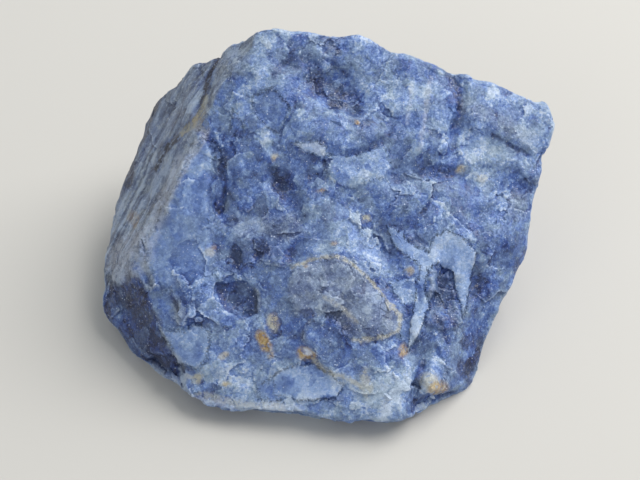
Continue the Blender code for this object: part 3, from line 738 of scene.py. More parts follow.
    Mark(CREAM, 0.7, Spot((-15.4, -11.8), (0.9, 0.6))),
    Mark(OCHRE, 0.45, Spot((-15.7, -11.8), (0.6, 0.4))),
    Mark(CREAM, 0.8, Spot((-20.0, -10.8), (1.1, 0.6), 25.0)),
    Mark(CREAM, 0.6, Spot((-16.0, -7.4), (0.9, 0.6), 40.0)),
    Mark(CREAM, 0.5, Spot((-18.0, 9.0), (1.0, 0.8))),
    Mark(OCHRE, 0.4, Spot((-17.2, 9.8), (0.5, 0.4))),
    Mark(OCHRE, 0.3, Spot((-15.7, -7.0), (0.5, 0.5))),
)


def rows(collection: bpy.types.bpy_prop_collection, name: str, width: int, kind: type = float) -> np.ndarray:
    """One property of each item of a mesh, as rows of numbers.

    Args:
        collection: the mesh's vertices or edges.
        name: the property.
        width: how many numbers it has.
        kind: what numbers they are.

    Returns:
        An array with a row for each item.
    """
    values = np.empty(len(collection) * width, kind)
    collection.foreach_get(name, values)
    return values.reshape(-1, width)


class Surface:
    """A mesh's points, normals and edges as arrays, in millimetres."""

    normal_rounds: int = 6

    def __init__(self, mesh: bpy.types.Mesh) -> None:
        """Reads the mesh."""
        self.mesh = mesh
        self.points = rows(mesh.vertices, "co", 3) / MM
        self.normals = rows(mesh.vertices, "normal", 3)
        self.ends = rows(mesh.edges, "vertices", 2, np.int32)
        self.degree = np.bincount(self.ends.ravel(), minlength=len(self.points))

    def around(self, values: np.ndarray) -> np.ndarray:
        """The mean of the values of each point's neighbours."""
        one, other = self.ends.T
        total = np.empty_like(values)
        for column in range(values.shape[1]):
            total[:, column] = np.bincount(one, values[other, column], len(values))
            total[:, column] += np.bincount(other, values[one, column], len(values))
        return total / self.degree[:, None]

    def smoothed(self, values: np.ndarray, rounds: int, swell: float = 0.0) -> np.ndarray:
        """Values evened out with those of their neighbours.

        Args:
            values: one row for each point.
            rounds: how many times each takes half of its neighbours' mean.
            swell: how much is then taken back, so that a closed shape keeps its size.

        Returns:
            The evened values.
        """
        for _ in range(rounds):
            values = 0.5 * (values + self.around(values))
            if swell:
                values = values + swell * (values - self.around(values))
        return values

    def hollow(self, rounds: int) -> np.ndarray:
        """How far each point lies under its evened surroundings, in millimetres; below 0 on a ridge."""
        return np.einsum("ij,ij->i", self.smoothed(self.points, rounds) - self.points, self.normals)

    def move(self, heights: np.ndarray) -> None:
        """Moves each point by its height, along its own and its neighbours' evened normal."""
        along = self.smoothed(self.normals, self.normal_rounds)
        along /= np.linalg.norm(along, axis=1, keepdims=True)
        self.place(self.points + along * heights[:, None])

    def draw_to(self, points: np.ndarray, share: np.ndarray) -> None:
        """Moves each point by its share of the way to where it is drawn."""
        self.place(self.points + share[:, None] * (points - self.points))

    def place(self, points: np.ndarray) -> None:
        """Puts the points where they are told to be, and reads their new normals."""
        self.points = points
        self.mesh.vertices.foreach_set("co", (points * MM).ravel())
        self.mesh.update()
        self.normals = rows(self.mesh.vertices, "normal", 3)

    def write(self, name: str, values: np.ndarray) -> None:
        """Keeps one value for each point in the mesh, under that name."""
        attribute = self.mesh.attributes.new(name, "FLOAT", "POINT")
        attribute.data.foreach_set("value", values.astype(np.float32))


def with_modifier(
    mesh: bpy.types.Mesh, kind: str, weights: np.ndarray | None = None, **settings: object
) -> bpy.types.Mesh:
    """The mesh after one modifier.

    Args:
        mesh: what the modifier works on.
        kind: the modifier's type.
        weights: a weight for each point, kept in a vertex group named weights.
        settings: its settings.

    Returns:
        A new mesh.
    """
    carrier = in_scene("carrier", mesh)
    if weights is not None:
        group = carrier.vertex_groups.new(name="weights")
        for weight in np.unique(weights):
            group.add(np.flatnonzero(weights == weight).tolist(), float(weight), "REPLACE")
    modifier = carrier.modifiers.new(kind, kind)
    for name, value in settings.items():
        setattr(modifier, name, value)
    return settled(carrier)


@dataclass
class BrokenStone:
    """The stone: the fracture surface worked out finely, and what mineral shows where on it.

    Lengths are in millimetres, and roundings, reaches and the like in rounds of evening out.
    """

    node: str = "sodalite"
    eye: Eye = field(default_factory=Eye)
    chance: Chance = field(default_factory=Chance)
    weld: float = 0.01
    coarse_step: float = 0.42
    rounding: int = 10
    swell: float = 0.52
    calming: int = 40
    calm: float = 0.45
    evening: int = 130
    kept_ridge: Band = (0.12, 0.45)
    kept_cleft: Band = (0.70, 1.30)
    level_reach: int = 160
    level_step: float = 0.40
    level_wander: Waves = ((6.0, 1.1), (1.4, 0.35), (0.6, 0.15))
    level_edge: Band = (0.40, 0.60)
    level_share: float = 0.42
    level_zone: Patches = Patches(Channel.LEVEL_ZONE, 7.0, (-0.25, 0.35))
    bend: Waves = ((3.0, 0.5), (1.1, 0.15))
    chipping: tuple[tuple[float, float, float, float], ...] = (
        (6.5, 0.10, 0.14, 0.015),
        (2.9, 0.11, 0.05, 0.030),
        (1.3, 0.07, 0.012, 0.04),
    )
    tear: Waves = ((3.5, 1.0), (1.3, 0.5), (0.5, 0.2))
    flakes: tuple[tuple[float, float, float, float], ...] = (
        (4.8, 0.06, 0.07, 0.20),
        (2.2, 0.05, 0.03, 0.27),
        (1.0, 0.03, 0.008, 0.14),
    )
    rough_zone: Patches = Patches(Channel.ROUGH_ZONE, 5.0, (-0.5, 0.5))
    least_rough: float = 0.15
    grit: tuple[float, float] = (0.4, 0.009)
    grit_layers: int = 2
    clear_calm: float = 0.8
    rest_band: float = 0.35
    rest_slant: float = -0.5
    triangles: int = 190000
    hidden_slant: float = -0.1
    thinning: tuple[float, float] = (1.0, 0.5)
    front_favour: float = 6e-5
    sharp_angle: float = math.radians(38.0)
    shards: "Shards" = field(default_factory=lambda: Shards())

    def block(self) -> bpy.types.Mesh:
        """The plain solid's shape, closed up, with its facets rounded off into an even mesh.

        Returns:
            A new mesh of small quads.
        """
        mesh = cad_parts[self.node].data.copy()
        shape = bmesh.new()
        shape.from_mesh(mesh)
        bmesh.ops.remove_doubles(shape, verts=shape.verts, dist=self.weld * MM)
        shape.to_mesh(mesh)
        shape.free()
        even = with_modifier(mesh, "REMESH", mode="VOXEL", voxel_size=self.coarse_step * MM)
        surface = Surface(even)
        surface.place(surface.smoothed(surface.points, self.rounding, self.swell))
        calmed = surface.smoothed(surface.points, self.calming)
        sunk = np.einsum("ij,ij->i", surface.points - calmed, surface.normals)
        calm = self.calm * (1.0 - smooth_step(*self.kept_ridge, sunk))
        calm *= 1.0 - smooth_step(*self.kept_cleft, -sunk)
        surface.draw_to(calmed, calm)
        share = EVEN.share(self.eye.places(surface.points)) * self.eye.facing(surface.normals)
        surface.draw_to(surface.smoothed(surface.points, self.evening), share)
        return even

    def levels(self, surface: Surface) -> np.ndarray:
        """How far to move each point so that slopes break up into flat flakes with torn ledges.

        Args:
            surface: the rounded surface.

        Returns:
            A height in millimetres for each point.
        """
        climbed = -surface.hollow(self.level_reach) / self.level_step
        for index, (size, reach) in enumerate(self.level_wander):
            climbed += reach * self.chance.smooth(surface.points, size, Channel.LEVELS + index)
        whole = np.floor(climbed)
        flat = whole + smooth_step(*self.level_edge, climbed - whole)
        share = self.level_share * self.level_zone.share(self.chance, surface.points)
        return share * (flat - climbed) * self.level_step

    def flaked(self, surface: Surface) -> tuple[np.ndarray, np.ndarray]:
        """Flat flakes with torn edges, each tilted its own way and of its own tone.

        Args:
            surface: the surface that they split off.

        Returns:
            A height in millimetres and a tone, above 0 where it is darker, for each point.
        """
        points = surface.points
        torn = self.chance.wandered(points, points, self.tear, Channel.TEAR)
        heights, tones = np.zeros(len(points)), np.zeros(len(points))
        for index, (size, tilt, lift, tone) in enumerate(self.flakes):
            cells = self.chance.cells(torn, size, Channel.FLAKES + SIZE_STEP * index)
            heights += cells.planes(points, tilt, lift)
            tones += tone * cells.tones()
        return heights, tones

    def chipped(self, surface: Surface, flakes: np.ndarray) -> np.ndarray:
        """The height of the chips, from large to small, of the flakes on them and of the grit.

        Args:
            surface: the surface that they are broken out of.
            flakes: the height of the flakes.

        Returns:
            A height in millimetres for each point.
        """
        points = surface.points
        bent = self.chance.wandered(points, points, self.bend, Channel.BEND)
        rough = self.least_rough + self.rough_zone.share(self.chance, points)
        total = np.zeros(len(points))
        for index, chip in enumerate(self.chipping):
            height = self.chance.chips(bent, *chip, Channel.CHIPS + SIZE_STEP * index)
            total += (height - height.mean()) * (rough if index else 1.0)
        size, lift = self.grit
        grit = lift * self.chance.layered(points, size, Channel.GRIT, self.grit_layers)
        return total + rough * flakes + grit

    def mesh(self) -> bpy.types.Mesh:
        """The finished surface with its marks.

        Returns:
            A closed mesh of triangles under the limit, which carries an attribute for each tint.
        """
        rough = Surface(with_modifier(self.block(), "SUBSURF", levels=1, render_levels=1))
        minerals = Minerals(self.eye, self.chance)
        marked, lifts = minerals.marks(rough)
        uneven = 1.0 - self.clear_calm * marked[CLEAR]
        rough.move(uneven * self.levels(rough))
        flakes, tones = self.flaked(rough)
        marked[DEPTH] += uneven * tones
        rough.move(uneven * self.chipped(rough, flakes) + lifts)
        self.seat(rough)
        minerals.write(rough, marked)
        finished = Surface(self.shards.grown(self.thinned(rough), BlueStone().material()))
        finished.place(self.boxed(finished.points))
        return finished.mesh

    def thinned(self, surface: Surface) -> bpy.types.Mesh:
        """The surface in triangles, fewer of them where it faces away from the eye.

        Args:
            surface: the finished surface, in quads.

        Returns:
            A new mesh.
        """
        hidden = surface.normals @ self.eye.axes()[2] < self.hidden_slant
        return with_modifier(
            surface.mesh, "DECIMATE", np.where(hidden, *self.thinning), vertex_group="weights",
            vertex_group_factor=self.front_favour, ratio=self.triangles / (2 * len(surface.mesh.polygons)),
            use_collapse_triangulate=True,
        )

    @staticmethod
    def boxed(points: np.ndarray) -> np.ndarray:
        """The points, held inside the plain solid's box."""
        return np.clip(points, CAD_LOW / MM, CAD_HIGH / MM)

    def seat(self, surface: Surface) -> None:
        """Flattens what the stone rests on and keeps the rest inside the plain solid's box.

        Args:
            surface: the finished surface, which is changed.
        """
        points = surface.points
        low = (points[:, 2] < self.rest_band) & (surface.normals[:, 2] < self.rest_slant)
        points[low, 2] = 0.0
        surface.place(self.boxed(points))

    def build(self) -> bpy.types.Object:
        """Makes the stone's object and hands it to the frame.

        Returns:
            The object.
        """
        mesh = self.mesh()
        mesh.name = "raw_sodalite"
        mesh.shade_smooth()
        mesh.set_sharp_from_angle(angle=self.sharp_angle)
        stone = in_scene("raw_sodalite", mesh)
        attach(stone, "root")
        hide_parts(self.node)
        return stone


@dataclass(frozen=True)
class Minerals:
    """Which mineral shows where: the placed marks, the grains, the frost on ridges, and painted shade in
    hollows, with ridges paler.
    """

    eye: Eye
    chance: Chance
    wander: Waves = ((2.6, 0.22), (1.0, 0.20), (0.45, 0.12))
    usual_depth: float = 0.46
    drift: tuple[float, float] = (9.0, 0.08)
    # Depth added by how far a point lies in a hollow, at three sizes of evening: darker in hollows as painted
    # shade, paler on ridges. Each gives the rounds, the tone and the band that the hollow is held to.
    hollows: tuple[tuple[int, float, Band], ...] = (
        (3, 2.6, (-0.07, 0.025)),
        (16, 0.5, (-0.2, 0.15)),
        (90, 0.2, (-0.6, 0.5)),
    )
    broad_rounds: int = 20
    front_band: Band = (0.0, 0.35)
    left_band: Band = (0.40, 0.65)
    brown_guard: float = 5.0
    grey_patches: Patches = Patches(Channel.GREY_PATCHES, 14.0, (0.1, 0.7))
    grey_most: float = 0.8
    stains: Patches = Patches(Channel.STAINS, 7.0, (0.45, 0.8))
    stain_most: float = 0.6
    ridge_band: Band = (0.018, 0.06)
    ridge_frost: float = 0.22
    shard_heights: Band = (1.0, 2.0)
    shard_ridges: tuple[Band, ...] = ((0.12, 0.03), (0.3, 0.08))
    shard_patches: Patches = Patches(Channel.LOOSE, 4.0, (-0.5, 0.6))

    def marks(self, surface: Surface) -> tuple[dict[Tint, np.ndarray], np.ndarray]:
        """How strongly each tint is marked at each point, and how far the marks stand up.

        Args:
            surface: the rounded surface.

        Returns:
            Values for each point, by tint, and a height in millimetres for each point.
        """
        points = surface.points
        places = self.chance.wandered(self.eye.places(points), points, self.wander, Channel.WANDER)
        facing = self.eye.facing(surface.normals)
        marked = {tint: np.zeros(len(points)) for tint in Tint}
        lifts = np.zeros(len(points))
        sight = self.eye.sight(points)
        for streaks in STREAKS:
            strength = streaks.area.share(places) * facing * streaks.strength(self.chance, sight)
            marked[DEPTH] += streaks.tone * strength
            lifts -= streaks.relief * strength
        for mark in MARKS:
            share = mark.shape.share(places) * facing
            lifts += mark.lift * share
            marked[CLEAR] = np.maximum(marked[CLEAR], mark.clear * share)
            if mark.tint is DEPTH:
                marked[mark.tint] += mark.amount * share
            else:
                marked[mark.tint] = np.maximum(marked[mark.tint], mark.amount * share)
        return marked, lifts

    def write(self, surface: Surface, marked: dict[Tint, np.ndarray]) -> None:
        """Works out all the tints, with painted shade in hollows, and keeps them in the mesh.

        Args:
            surface: the finished surface, whose mesh gets an attribute for each tint.
            marked: how strongly each tint is marked at each point.
        """
        points, chance = surface.points, self.chance
        hollows = [surface.hollow(rounds) for rounds, _, _ in self.hollows]
        size, tone = self.drift
        depth_and_shade = self.usual_depth + marked[DEPTH] + tone * chance.layered(points, size, Channel.DRIFT)
        # Painted shade: darker in hollows, and paler on ridges.
        depth_and_shade += sum(tone * np.clip(hollow, *band) for hollow, (_, tone, band) in zip(hollows, self.hollows))
        broad = surface.smoothed(surface.normals, self.broad_rounds)
        broad /= np.linalg.norm(broad, axis=1, keepdims=True)
        behind = 1.0 - smooth_step(*self.front_band, broad @ self.eye.axes()[2])
        left = smooth_step(*self.left_band, -broad[:, 0])
        left = left * (1.0 - np.clip(self.brown_guard * marked[BROWN], 0.0, 1.0))
        greyed = self.grey_most * (self.grey_patches.share(chance, points) * behind)
        stained = self.stain_most * (self.stains.share(chance, points) * behind)
        ridges = self.ridge_frost * smooth_step(*self.ridge_band, -hollows[0])
        shown = {
            **marked,
            DEPTH: depth_and_shade,
            GREY: np.maximum.reduce((marked[GREY], left, greyed)),
            OCHRE: np.maximum(marked[OCHRE], stained),
            FROST_AND_GLINT: np.maximum(marked[FROST_AND_GLINT], ridges),
        }
        for tint, values in shown.items():
            surface.write(tint.value, values)
        bare = smooth_step(*self.shard_heights, points[:, 2]) * (1.0 - marked[CLEAR])
        tops = zip(hollows[1:], self.shard_ridges)
        bare *= np.prod([smooth_step(*band, -hollow) for hollow, band in tops], axis=0)
        surface.write("loose", bare * self.shard_patches.share(chance, points))


class NodeSheet:
    """A node tree that is being wired, with short ways to add nodes."""

    def __init__(self, tree: bpy.types.NodeTree) -> None:
        """Starts on an empty tree or on one that is already there."""
        self.tree = tree

    def add(self, kind: str, inputs: dict[str, object] | None = None, **settings: object) -> bpy.types.Node:
        """A new node.

        Args:
            kind: the node's type.
            inputs: values or output sockets, by the name of the input that gets them.
            settings: the node's own settings.

        Returns:
            The node.
        """
        node = self.tree.nodes.new(kind)
        for name, value in settings.items():
            setattr(node, name, value)
        for name, value in (inputs or {}).items():
            self.feed(node.inputs[name], value)
        return node

    def feed(self, socket: bpy.types.NodeSocket, value: object) -> None:
        """Gives a socket a value, or links an output to it."""
        if isinstance(value, bpy.types.NodeSocket):
            self.tree.links.new(value, socket)
        else:
            socket.default_value = value

    def math(self, operation: str, *values: object, clamp: bool = False) -> bpy.types.NodeSocket:
        """The result of one operation on numbers or sockets."""
        node = self.add("ShaderNodeMath", operation=operation, use_clamp=clamp)
        for socket, value in zip(node.inputs, values):
            self.feed(socket, value)
        return node.outputs[0]

    def vector(self, operation: str, *values: object, scale: object = None) -> bpy.types.NodeSocket:
        """The result of one operation on vectors or sockets, with a scale where it takes one."""
        node = self.add("ShaderNodeVectorMath", operation=operation)
        for socket, value in zip(node.inputs, values):
            self.feed(socket, value)
        if scale is not None:
            self.feed(node.inputs["Scale"], scale)
        return node.outputs["Value" if operation == "DOT_PRODUCT" else "Vector"]

    def band(self, value: object, low: float, high: float) -> bpy.types.NodeSocket:
        """How far a value has gone from low to high, from 0 to 1, with a soft start and end."""
        node = self.add("ShaderNodeMapRange", interpolation_type="SMOOTHSTEP")
        self.feed(node.inputs["Value"], value)
        node.inputs["From Min"].default_value = low
        node.inputs["From Max"].default_value = high
        return node.outputs["Result"]

    def mix(self, share: object, under: object, over: object) -> bpy.types.NodeSocket:
        """Two colours mixed by a share."""
        node = self.add("ShaderNodeMix", data_type="RGBA")
        colours = [socket for socket in node.inputs if socket.type == "RGBA"]
        self.feed(node.inputs["Factor"], share)
        self.feed(colours[0], under)
        self.feed(colours[1], over)
        return next(socket for socket in node.outputs if socket.type == "RGBA")

    def given(self) -> bpy.types.NodeOutputs:
        """What the group is given, by name."""
        return self.tree.nodes["Group Input"].outputs

    def cells(self, vector: object) -> tuple[bpy.types.NodeOutputs, bpy.types.NodeSocket]:
        """What each cell of the group's own Size has, by name, and the scale of the cells."""
        scale = self.math("DIVIDE", 1.0, self.given()["Size"])
        cell = self.add("ShaderNodeTexVoronoi", {"Vector": vector, "Scale": scale}, feature="F1")
        return cell.outputs, scale

    def split(self, colour: bpy.types.NodeSocket) -> bpy.types.NodeOutputs:
        """The three values that a colour is made of."""
        return self.add("ShaderNodeSeparateColor", {"Color": colour}).outputs

    def give(self, **results: bpy.types.NodeSocket) -> bpy.types.NodeTree:
        """Feeds what the group gives, by name, and returns its tree."""
        for name, result in results.items():
            self.feed(self.tree.nodes["Group Output"].inputs[name], result)
        return self.tree


def effect(name: str, inputs: dict[str, float], outputs: tuple[str, ...]) -> NodeSheet:
    """A new shader node group with named sockets.

    Args:
        name: the group's name.
        inputs: the numbers that it takes, with their usual values. It also takes a Vector.
        outputs: the numbers that it gives.

    Returns:
        The group's tree, with its input and output nodes already there.
    """
    tree = bpy.data.node_groups.new(name, "ShaderNodeTree")
    tree.interface.new_socket("Vector", in_out="INPUT", socket_type="NodeSocketVector")
    for label, usual in inputs.items():
        socket = tree.interface.new_socket(label, in_out="INPUT", socket_type="NodeSocketFloat")
        socket.default_value = usual
    for label in outputs:
        tree.interface.new_socket(label, in_out="OUTPUT", socket_type="NodeSocketFloat")
    tree.nodes.new("NodeGroupInput")
    tree.nodes.new("NodeGroupOutput")
    return NodeSheet(tree)


@dataclass(frozen=True)
class Shards:
    """Small split flakes of crystal that stick out all over the stone, scattered on it by a node tree."""

    density: float = 0.16
    smallest: float = 0.25
    largest: float = 1.3
    tilt: float = math.radians(9.0)
    tone: float = 0.12
    seed: int = 11
    sides: tuple[int, ...] = (3, 4, 5)
    narrowest: Triple = (0.5, 0.5, 0.6)
    widest: Triple = (1.4, 1.4, 1.0)
    small_favour: float = 3.0
    top: float = 0.78
    thickness: float = 0.5
    sunk: float = 0.42

    def tree(self) -> bpy.types.NodeTree:
        """The tree that scatters the shards, with named inputs.

        Returns:
            A geometry node tree that gives the mesh and its shards as one mesh.
        """
        tree = bpy.data.node_groups.new("crystal shards", "GeometryNodeTree")
        face = tree.interface
        face.new_socket("Geometry", in_out="INPUT", socket_type="NodeSocketGeometry")
        for label in ("Density", "Smallest", "Largest", "Tilt", "Tone"):
            face.new_socket(label, in_out="INPUT", socket_type="NodeSocketFloat")
        face.new_socket("Seed", in_out="INPUT", socket_type="NodeSocketInt")
        face.new_socket("Material", in_out="INPUT", socket_type="NodeSocketMaterial")
        face.new_socket("Geometry", in_out="OUTPUT", socket_type="NodeSocketGeometry")
        sheet = NodeSheet(tree)
        given = tree.nodes.new("NodeGroupInput").outputs
        stone, seed = given["Geometry"], given["Seed"]

        loose = sheet.add("GeometryNodeInputNamedAttribute", {"Name": "loose"}, data_type="FLOAT").outputs[0]
        spread = sheet.add("GeometryNodeDistributePointsOnFaces", {
            "Mesh": stone, "Density": sheet.math("MULTIPLY", given["Density"], loose), "Seed": seed})
        depth_and_shade = sheet.add("GeometryNodeInputNamedAttribute", {"Name": "depth_and_shade"}, data_type="FLOAT").outputs[0]
        tone, tilt = given["Tone"], given["Tilt"]
        shift = self.random(sheet, "FLOAT", sheet.math("MULTIPLY", tone, -1.0), tone, seed, 1)
        toned = sheet.add("GeometryNodeStoreNamedAttribute", {
            "Geometry": spread.outputs["Points"], "Name": "depth_and_shade", "Value": sheet.math("ADD", depth_and_shade, shift)},
            data_type="FLOAT", domain="POINT")

        tilted = sheet.add("ShaderNodeCombineXYZ", {"X": tilt, "Y": tilt, "Z": math.pi}).outputs[0]
        back = sheet.vector("SCALE", tilted, scale=-1.0)
        angles = self.random(sheet, "FLOAT_VECTOR", back, tilted, seed, 2)
        turn = sheet.add("FunctionNodeEulerToRotation", {"Euler": angles})
        turned = sheet.add("FunctionNodeRotateRotation", {
            "Rotation": spread.outputs["Rotation"], "Rotate By": turn.outputs[0]}, rotation_space="LOCAL")

        chance = sheet.math("POWER", self.random(sheet, "FLOAT", 0.0, 1.0, seed, 3), self.small_favour)
        reach = sheet.math("SUBTRACT", given["Largest"], given["Smallest"])
        size = sheet.math("MULTIPLY_ADD", chance, reach, given["Smallest"])
        uneven = self.random(sheet, "FLOAT_VECTOR", self.narrowest, self.widest, seed, 4)
        scale = sheet.vector("SCALE", uneven, scale=size)

        shapes = sheet.add("GeometryNodeGeometryToInstance")
        for sides in self.sides:
            cone = sheet.add("GeometryNodeMeshCone", {
                "Vertices": sides, "Radius Top": self.top, "Radius Bottom": 1.0, "Depth": self.thickness},
                fill_type="NGON")
            sunk = sheet.add("GeometryNodeTransform", {
                "Geometry": cone.outputs["Mesh"], "Translation": (0.0, 0.0, -self.sunk)})
            tree.links.new(sunk.outputs[0], shapes.inputs[0])
        choice = self.random(sheet, "INT", 0, len(self.sides) - 1, seed, 5)
        shards = sheet.add("GeometryNodeInstanceOnPoints", {
            "Points": toned.outputs[0], "Instance": shapes.outputs[0], "Pick Instance": True,
            "Instance Index": choice, "Rotation": turned.outputs[0], "Scale": scale})
        joined = sheet.add("GeometryNodeJoinGeometry")
        tree.links.new(shards.outputs[0], joined.inputs[0])
        tree.links.new(stone, joined.inputs[0])
        real = sheet.add("GeometryNodeRealizeInstances", {"Geometry": joined.outputs[0]})
        painted = sheet.add("GeometryNodeSetMaterial", {
            "Geometry": real.outputs[0], "Material": given["Material"]})
        tree.links.new(painted.outputs[0], tree.nodes.new("NodeGroupOutput").inputs[0])
        return tree

    @staticmethod
    def random(
        sheet: NodeSheet, kind: str, low: object, high: object, seed: object, turn: int
    ) -> bpy.types.NodeSocket:
        """A random value between two others.

        Args:
            sheet: the tree it belongs to.
            kind: the value's type.
            low: the least it can be.
            high: the most it can be.
            seed: what all the tree's random values start from.
            turn: which of them this is.

        Returns:
            The value's socket.
        """
        node = sheet.add("FunctionNodeRandomValue", data_type=kind)
        ends = [socket for socket in node.inputs if socket.enabled and socket.name in ("Min", "Max")]
        sheet.feed(ends[0], low)
        sheet.feed(ends[1], high)
        sheet.feed(node.inputs["Seed"], sheet.math("ADD", seed, float(turn)))
        return next(socket for socket in node.outputs if socket.enabled)

    def grown(self, mesh: bpy.types.Mesh, material: bpy.types.Material) -> bpy.types.Mesh:
        """The mesh with its shards.

        Args:
            mesh: the stone, with an attribute that says where it is loose.
            material: what the stone and its shards are made of.

        Returns:
            A new plain mesh.
        """
        tree = self.tree()
        carrier = in_scene("carrier", mesh)
        modifier = carrier.modifiers.new("shards", "NODES")
        modifier.node_group = tree
        values = {
            "Density": self.density / MM**2, "Smallest": self.smallest * MM, "Largest": self.largest * MM,
            "Tilt": self.tilt, "Tone": self.tone, "Seed": self.seed, "Material": material,
        }
        for socket in tree.interface.items_tree:
            if socket.in_out == "INPUT" and socket.name in values:
                modifier[socket.identifier] = values[socket.name]
        result = settled(carrier)
        result.attributes.remove(result.attributes["loose"])
        return result


@dataclass(frozen=True)
class Effects:
    """The shader node groups that the stone's look is mixed from."""

    grain: bpy.types.NodeTree
    fleck: bpy.types.NodeTree
    sugar: bpy.types.NodeTree
    sparkle: bpy.types.NodeTree

    @classmethod
    def make(cls) -> "Effects":
        """Builds all the groups."""
        return cls(cls.grain_group(), cls.fleck_group(), cls.sugar_group(), cls.sparkle_group())

    @staticmethod
    def grain_group() -> bpy.types.NodeTree:
        """Angular grains, each with a tone and a kind of its own.

        Returns:
            The group, with Tone and Kind.
        """
        sheet = effect("angular grain", {"Size": 1.0, "Bend": 0.4}, ("Tone", "Kind"))
        given = sheet.given()
        noise = sheet.add("ShaderNodeTexNoise", {"Vector": given["Vector"], "Scale": 1.4, "Detail": 3.0})
        centred = sheet.vector("SUBTRACT", noise.outputs["Color"], MIDDLE)
        reach = sheet.add("ShaderNodeCombineXYZ", {axis: given["Bend"] for axis in "XYZ"}).outputs[0]
        cell, _ = sheet.cells(sheet.vector("MULTIPLY_ADD", centred, reach, given["Vector"]))
        own = sheet.split(cell["Color"])
        return sheet.give(Tone=own[0], Kind=own[1])

    @staticmethod
    def fleck_group() -> bpy.types.NodeTree:
        """Scattered flecks with ragged edges.

        Returns:
            The group, with Mask.
        """
        sheet = effect("ragged fleck", {"Size": 0.5, "Share": 0.3}, ("Mask",))
        given = sheet.given()
        scale = sheet.math("DIVIDE", 1.0, given["Size"])
        noise = sheet.add("ShaderNodeTexNoise", {
            "Vector": given["Vector"], "Scale": scale, "Detail": 4.0, "Roughness": 0.7})
        level = sheet.math("SUBTRACT", 0.72, sheet.math("MULTIPLY", given["Share"], 0.44))
        above = sheet.math("SUBTRACT", noise.outputs["Fac"], level)
        return sheet.give(Mask=sheet.band(above, -0.01, 0.025))

    @staticmethod
    def sugar_group() -> bpy.types.NodeTree:
        """Small specks, one in some of the cells, each of its own size.

        Returns:
            The group, with Mask.
        """
        sheet = effect("sugar specks", {"Size": 0.5, "Share": 0.3, "Reach": 0.4}, ("Mask",))
        given = sheet.given()
        cell, _ = sheet.cells(given["Vector"])
        own = sheet.split(cell["Color"])
        chosen = sheet.math("LESS_THAN", own[0], given["Share"])
        radius = sheet.math("MULTIPLY", given["Reach"], sheet.math("MULTIPLY_ADD", own[1], 0.7, 0.3))
        near = sheet.band(sheet.math("DIVIDE", cell["Distance"], radius), 1.0, 0.6)
        return sheet.give(Mask=sheet.math("MULTIPLY", chosen, near))

    @staticmethod
    def sparkle_group() -> bpy.types.NodeTree:
        """The height of tiny flat crystal faces, each tilted its own way.

        Returns:
            The group, with Height.
        """
        sheet = effect("crystal faces", {"Size": 0.4}, ("Height",))
        given = sheet.given()
        cell, scale = sheet.cells(given["Vector"])
        scaled = sheet.vector("SCALE", given["Vector"], scale=scale)
        apart = sheet.vector("SUBTRACT", scaled, cell["Position"])
        slope = sheet.vector("SUBTRACT", cell["Color"], MIDDLE)
        return sheet.give(Height=sheet.vector("DOT_PRODUCT", apart, slope))


class Paint(NodeSheet):
    """The nodes of the stone's material, whose groups all work in millimetres on the stone."""

    def __init__(self, tree: bpy.types.NodeTree) -> None:
        """Starts on the material's tree, with the groups at hand."""
        super().__init__(tree)
        self.effects = Effects.make()
        self.where = self.vector("SCALE", self.add("ShaderNodeTexCoord").outputs["Object"], scale=1.0 / MM)

    def placed(self, group: bpy.types.NodeTree, **inputs: float) -> bpy.types.NodeOutputs:
        """One use of a group, and its outputs."""
        return self.add("ShaderNodeGroup", {"Vector": self.where, **inputs}, node_tree=group).outputs

    def flecks(self, size: float, share: float) -> bpy.types.NodeSocket:
        """Where flecks of that size lie, which cover about that share of the stone."""
        return self.placed(self.effects.fleck, Size=size, Share=share)["Mask"]

    def tint(self, kind: Tint) -> bpy.types.NodeSocket:
        """The mesh's own value of one tint."""
        return self.add("ShaderNodeAttribute", attribute_name=kind.value).outputs["Fac"]


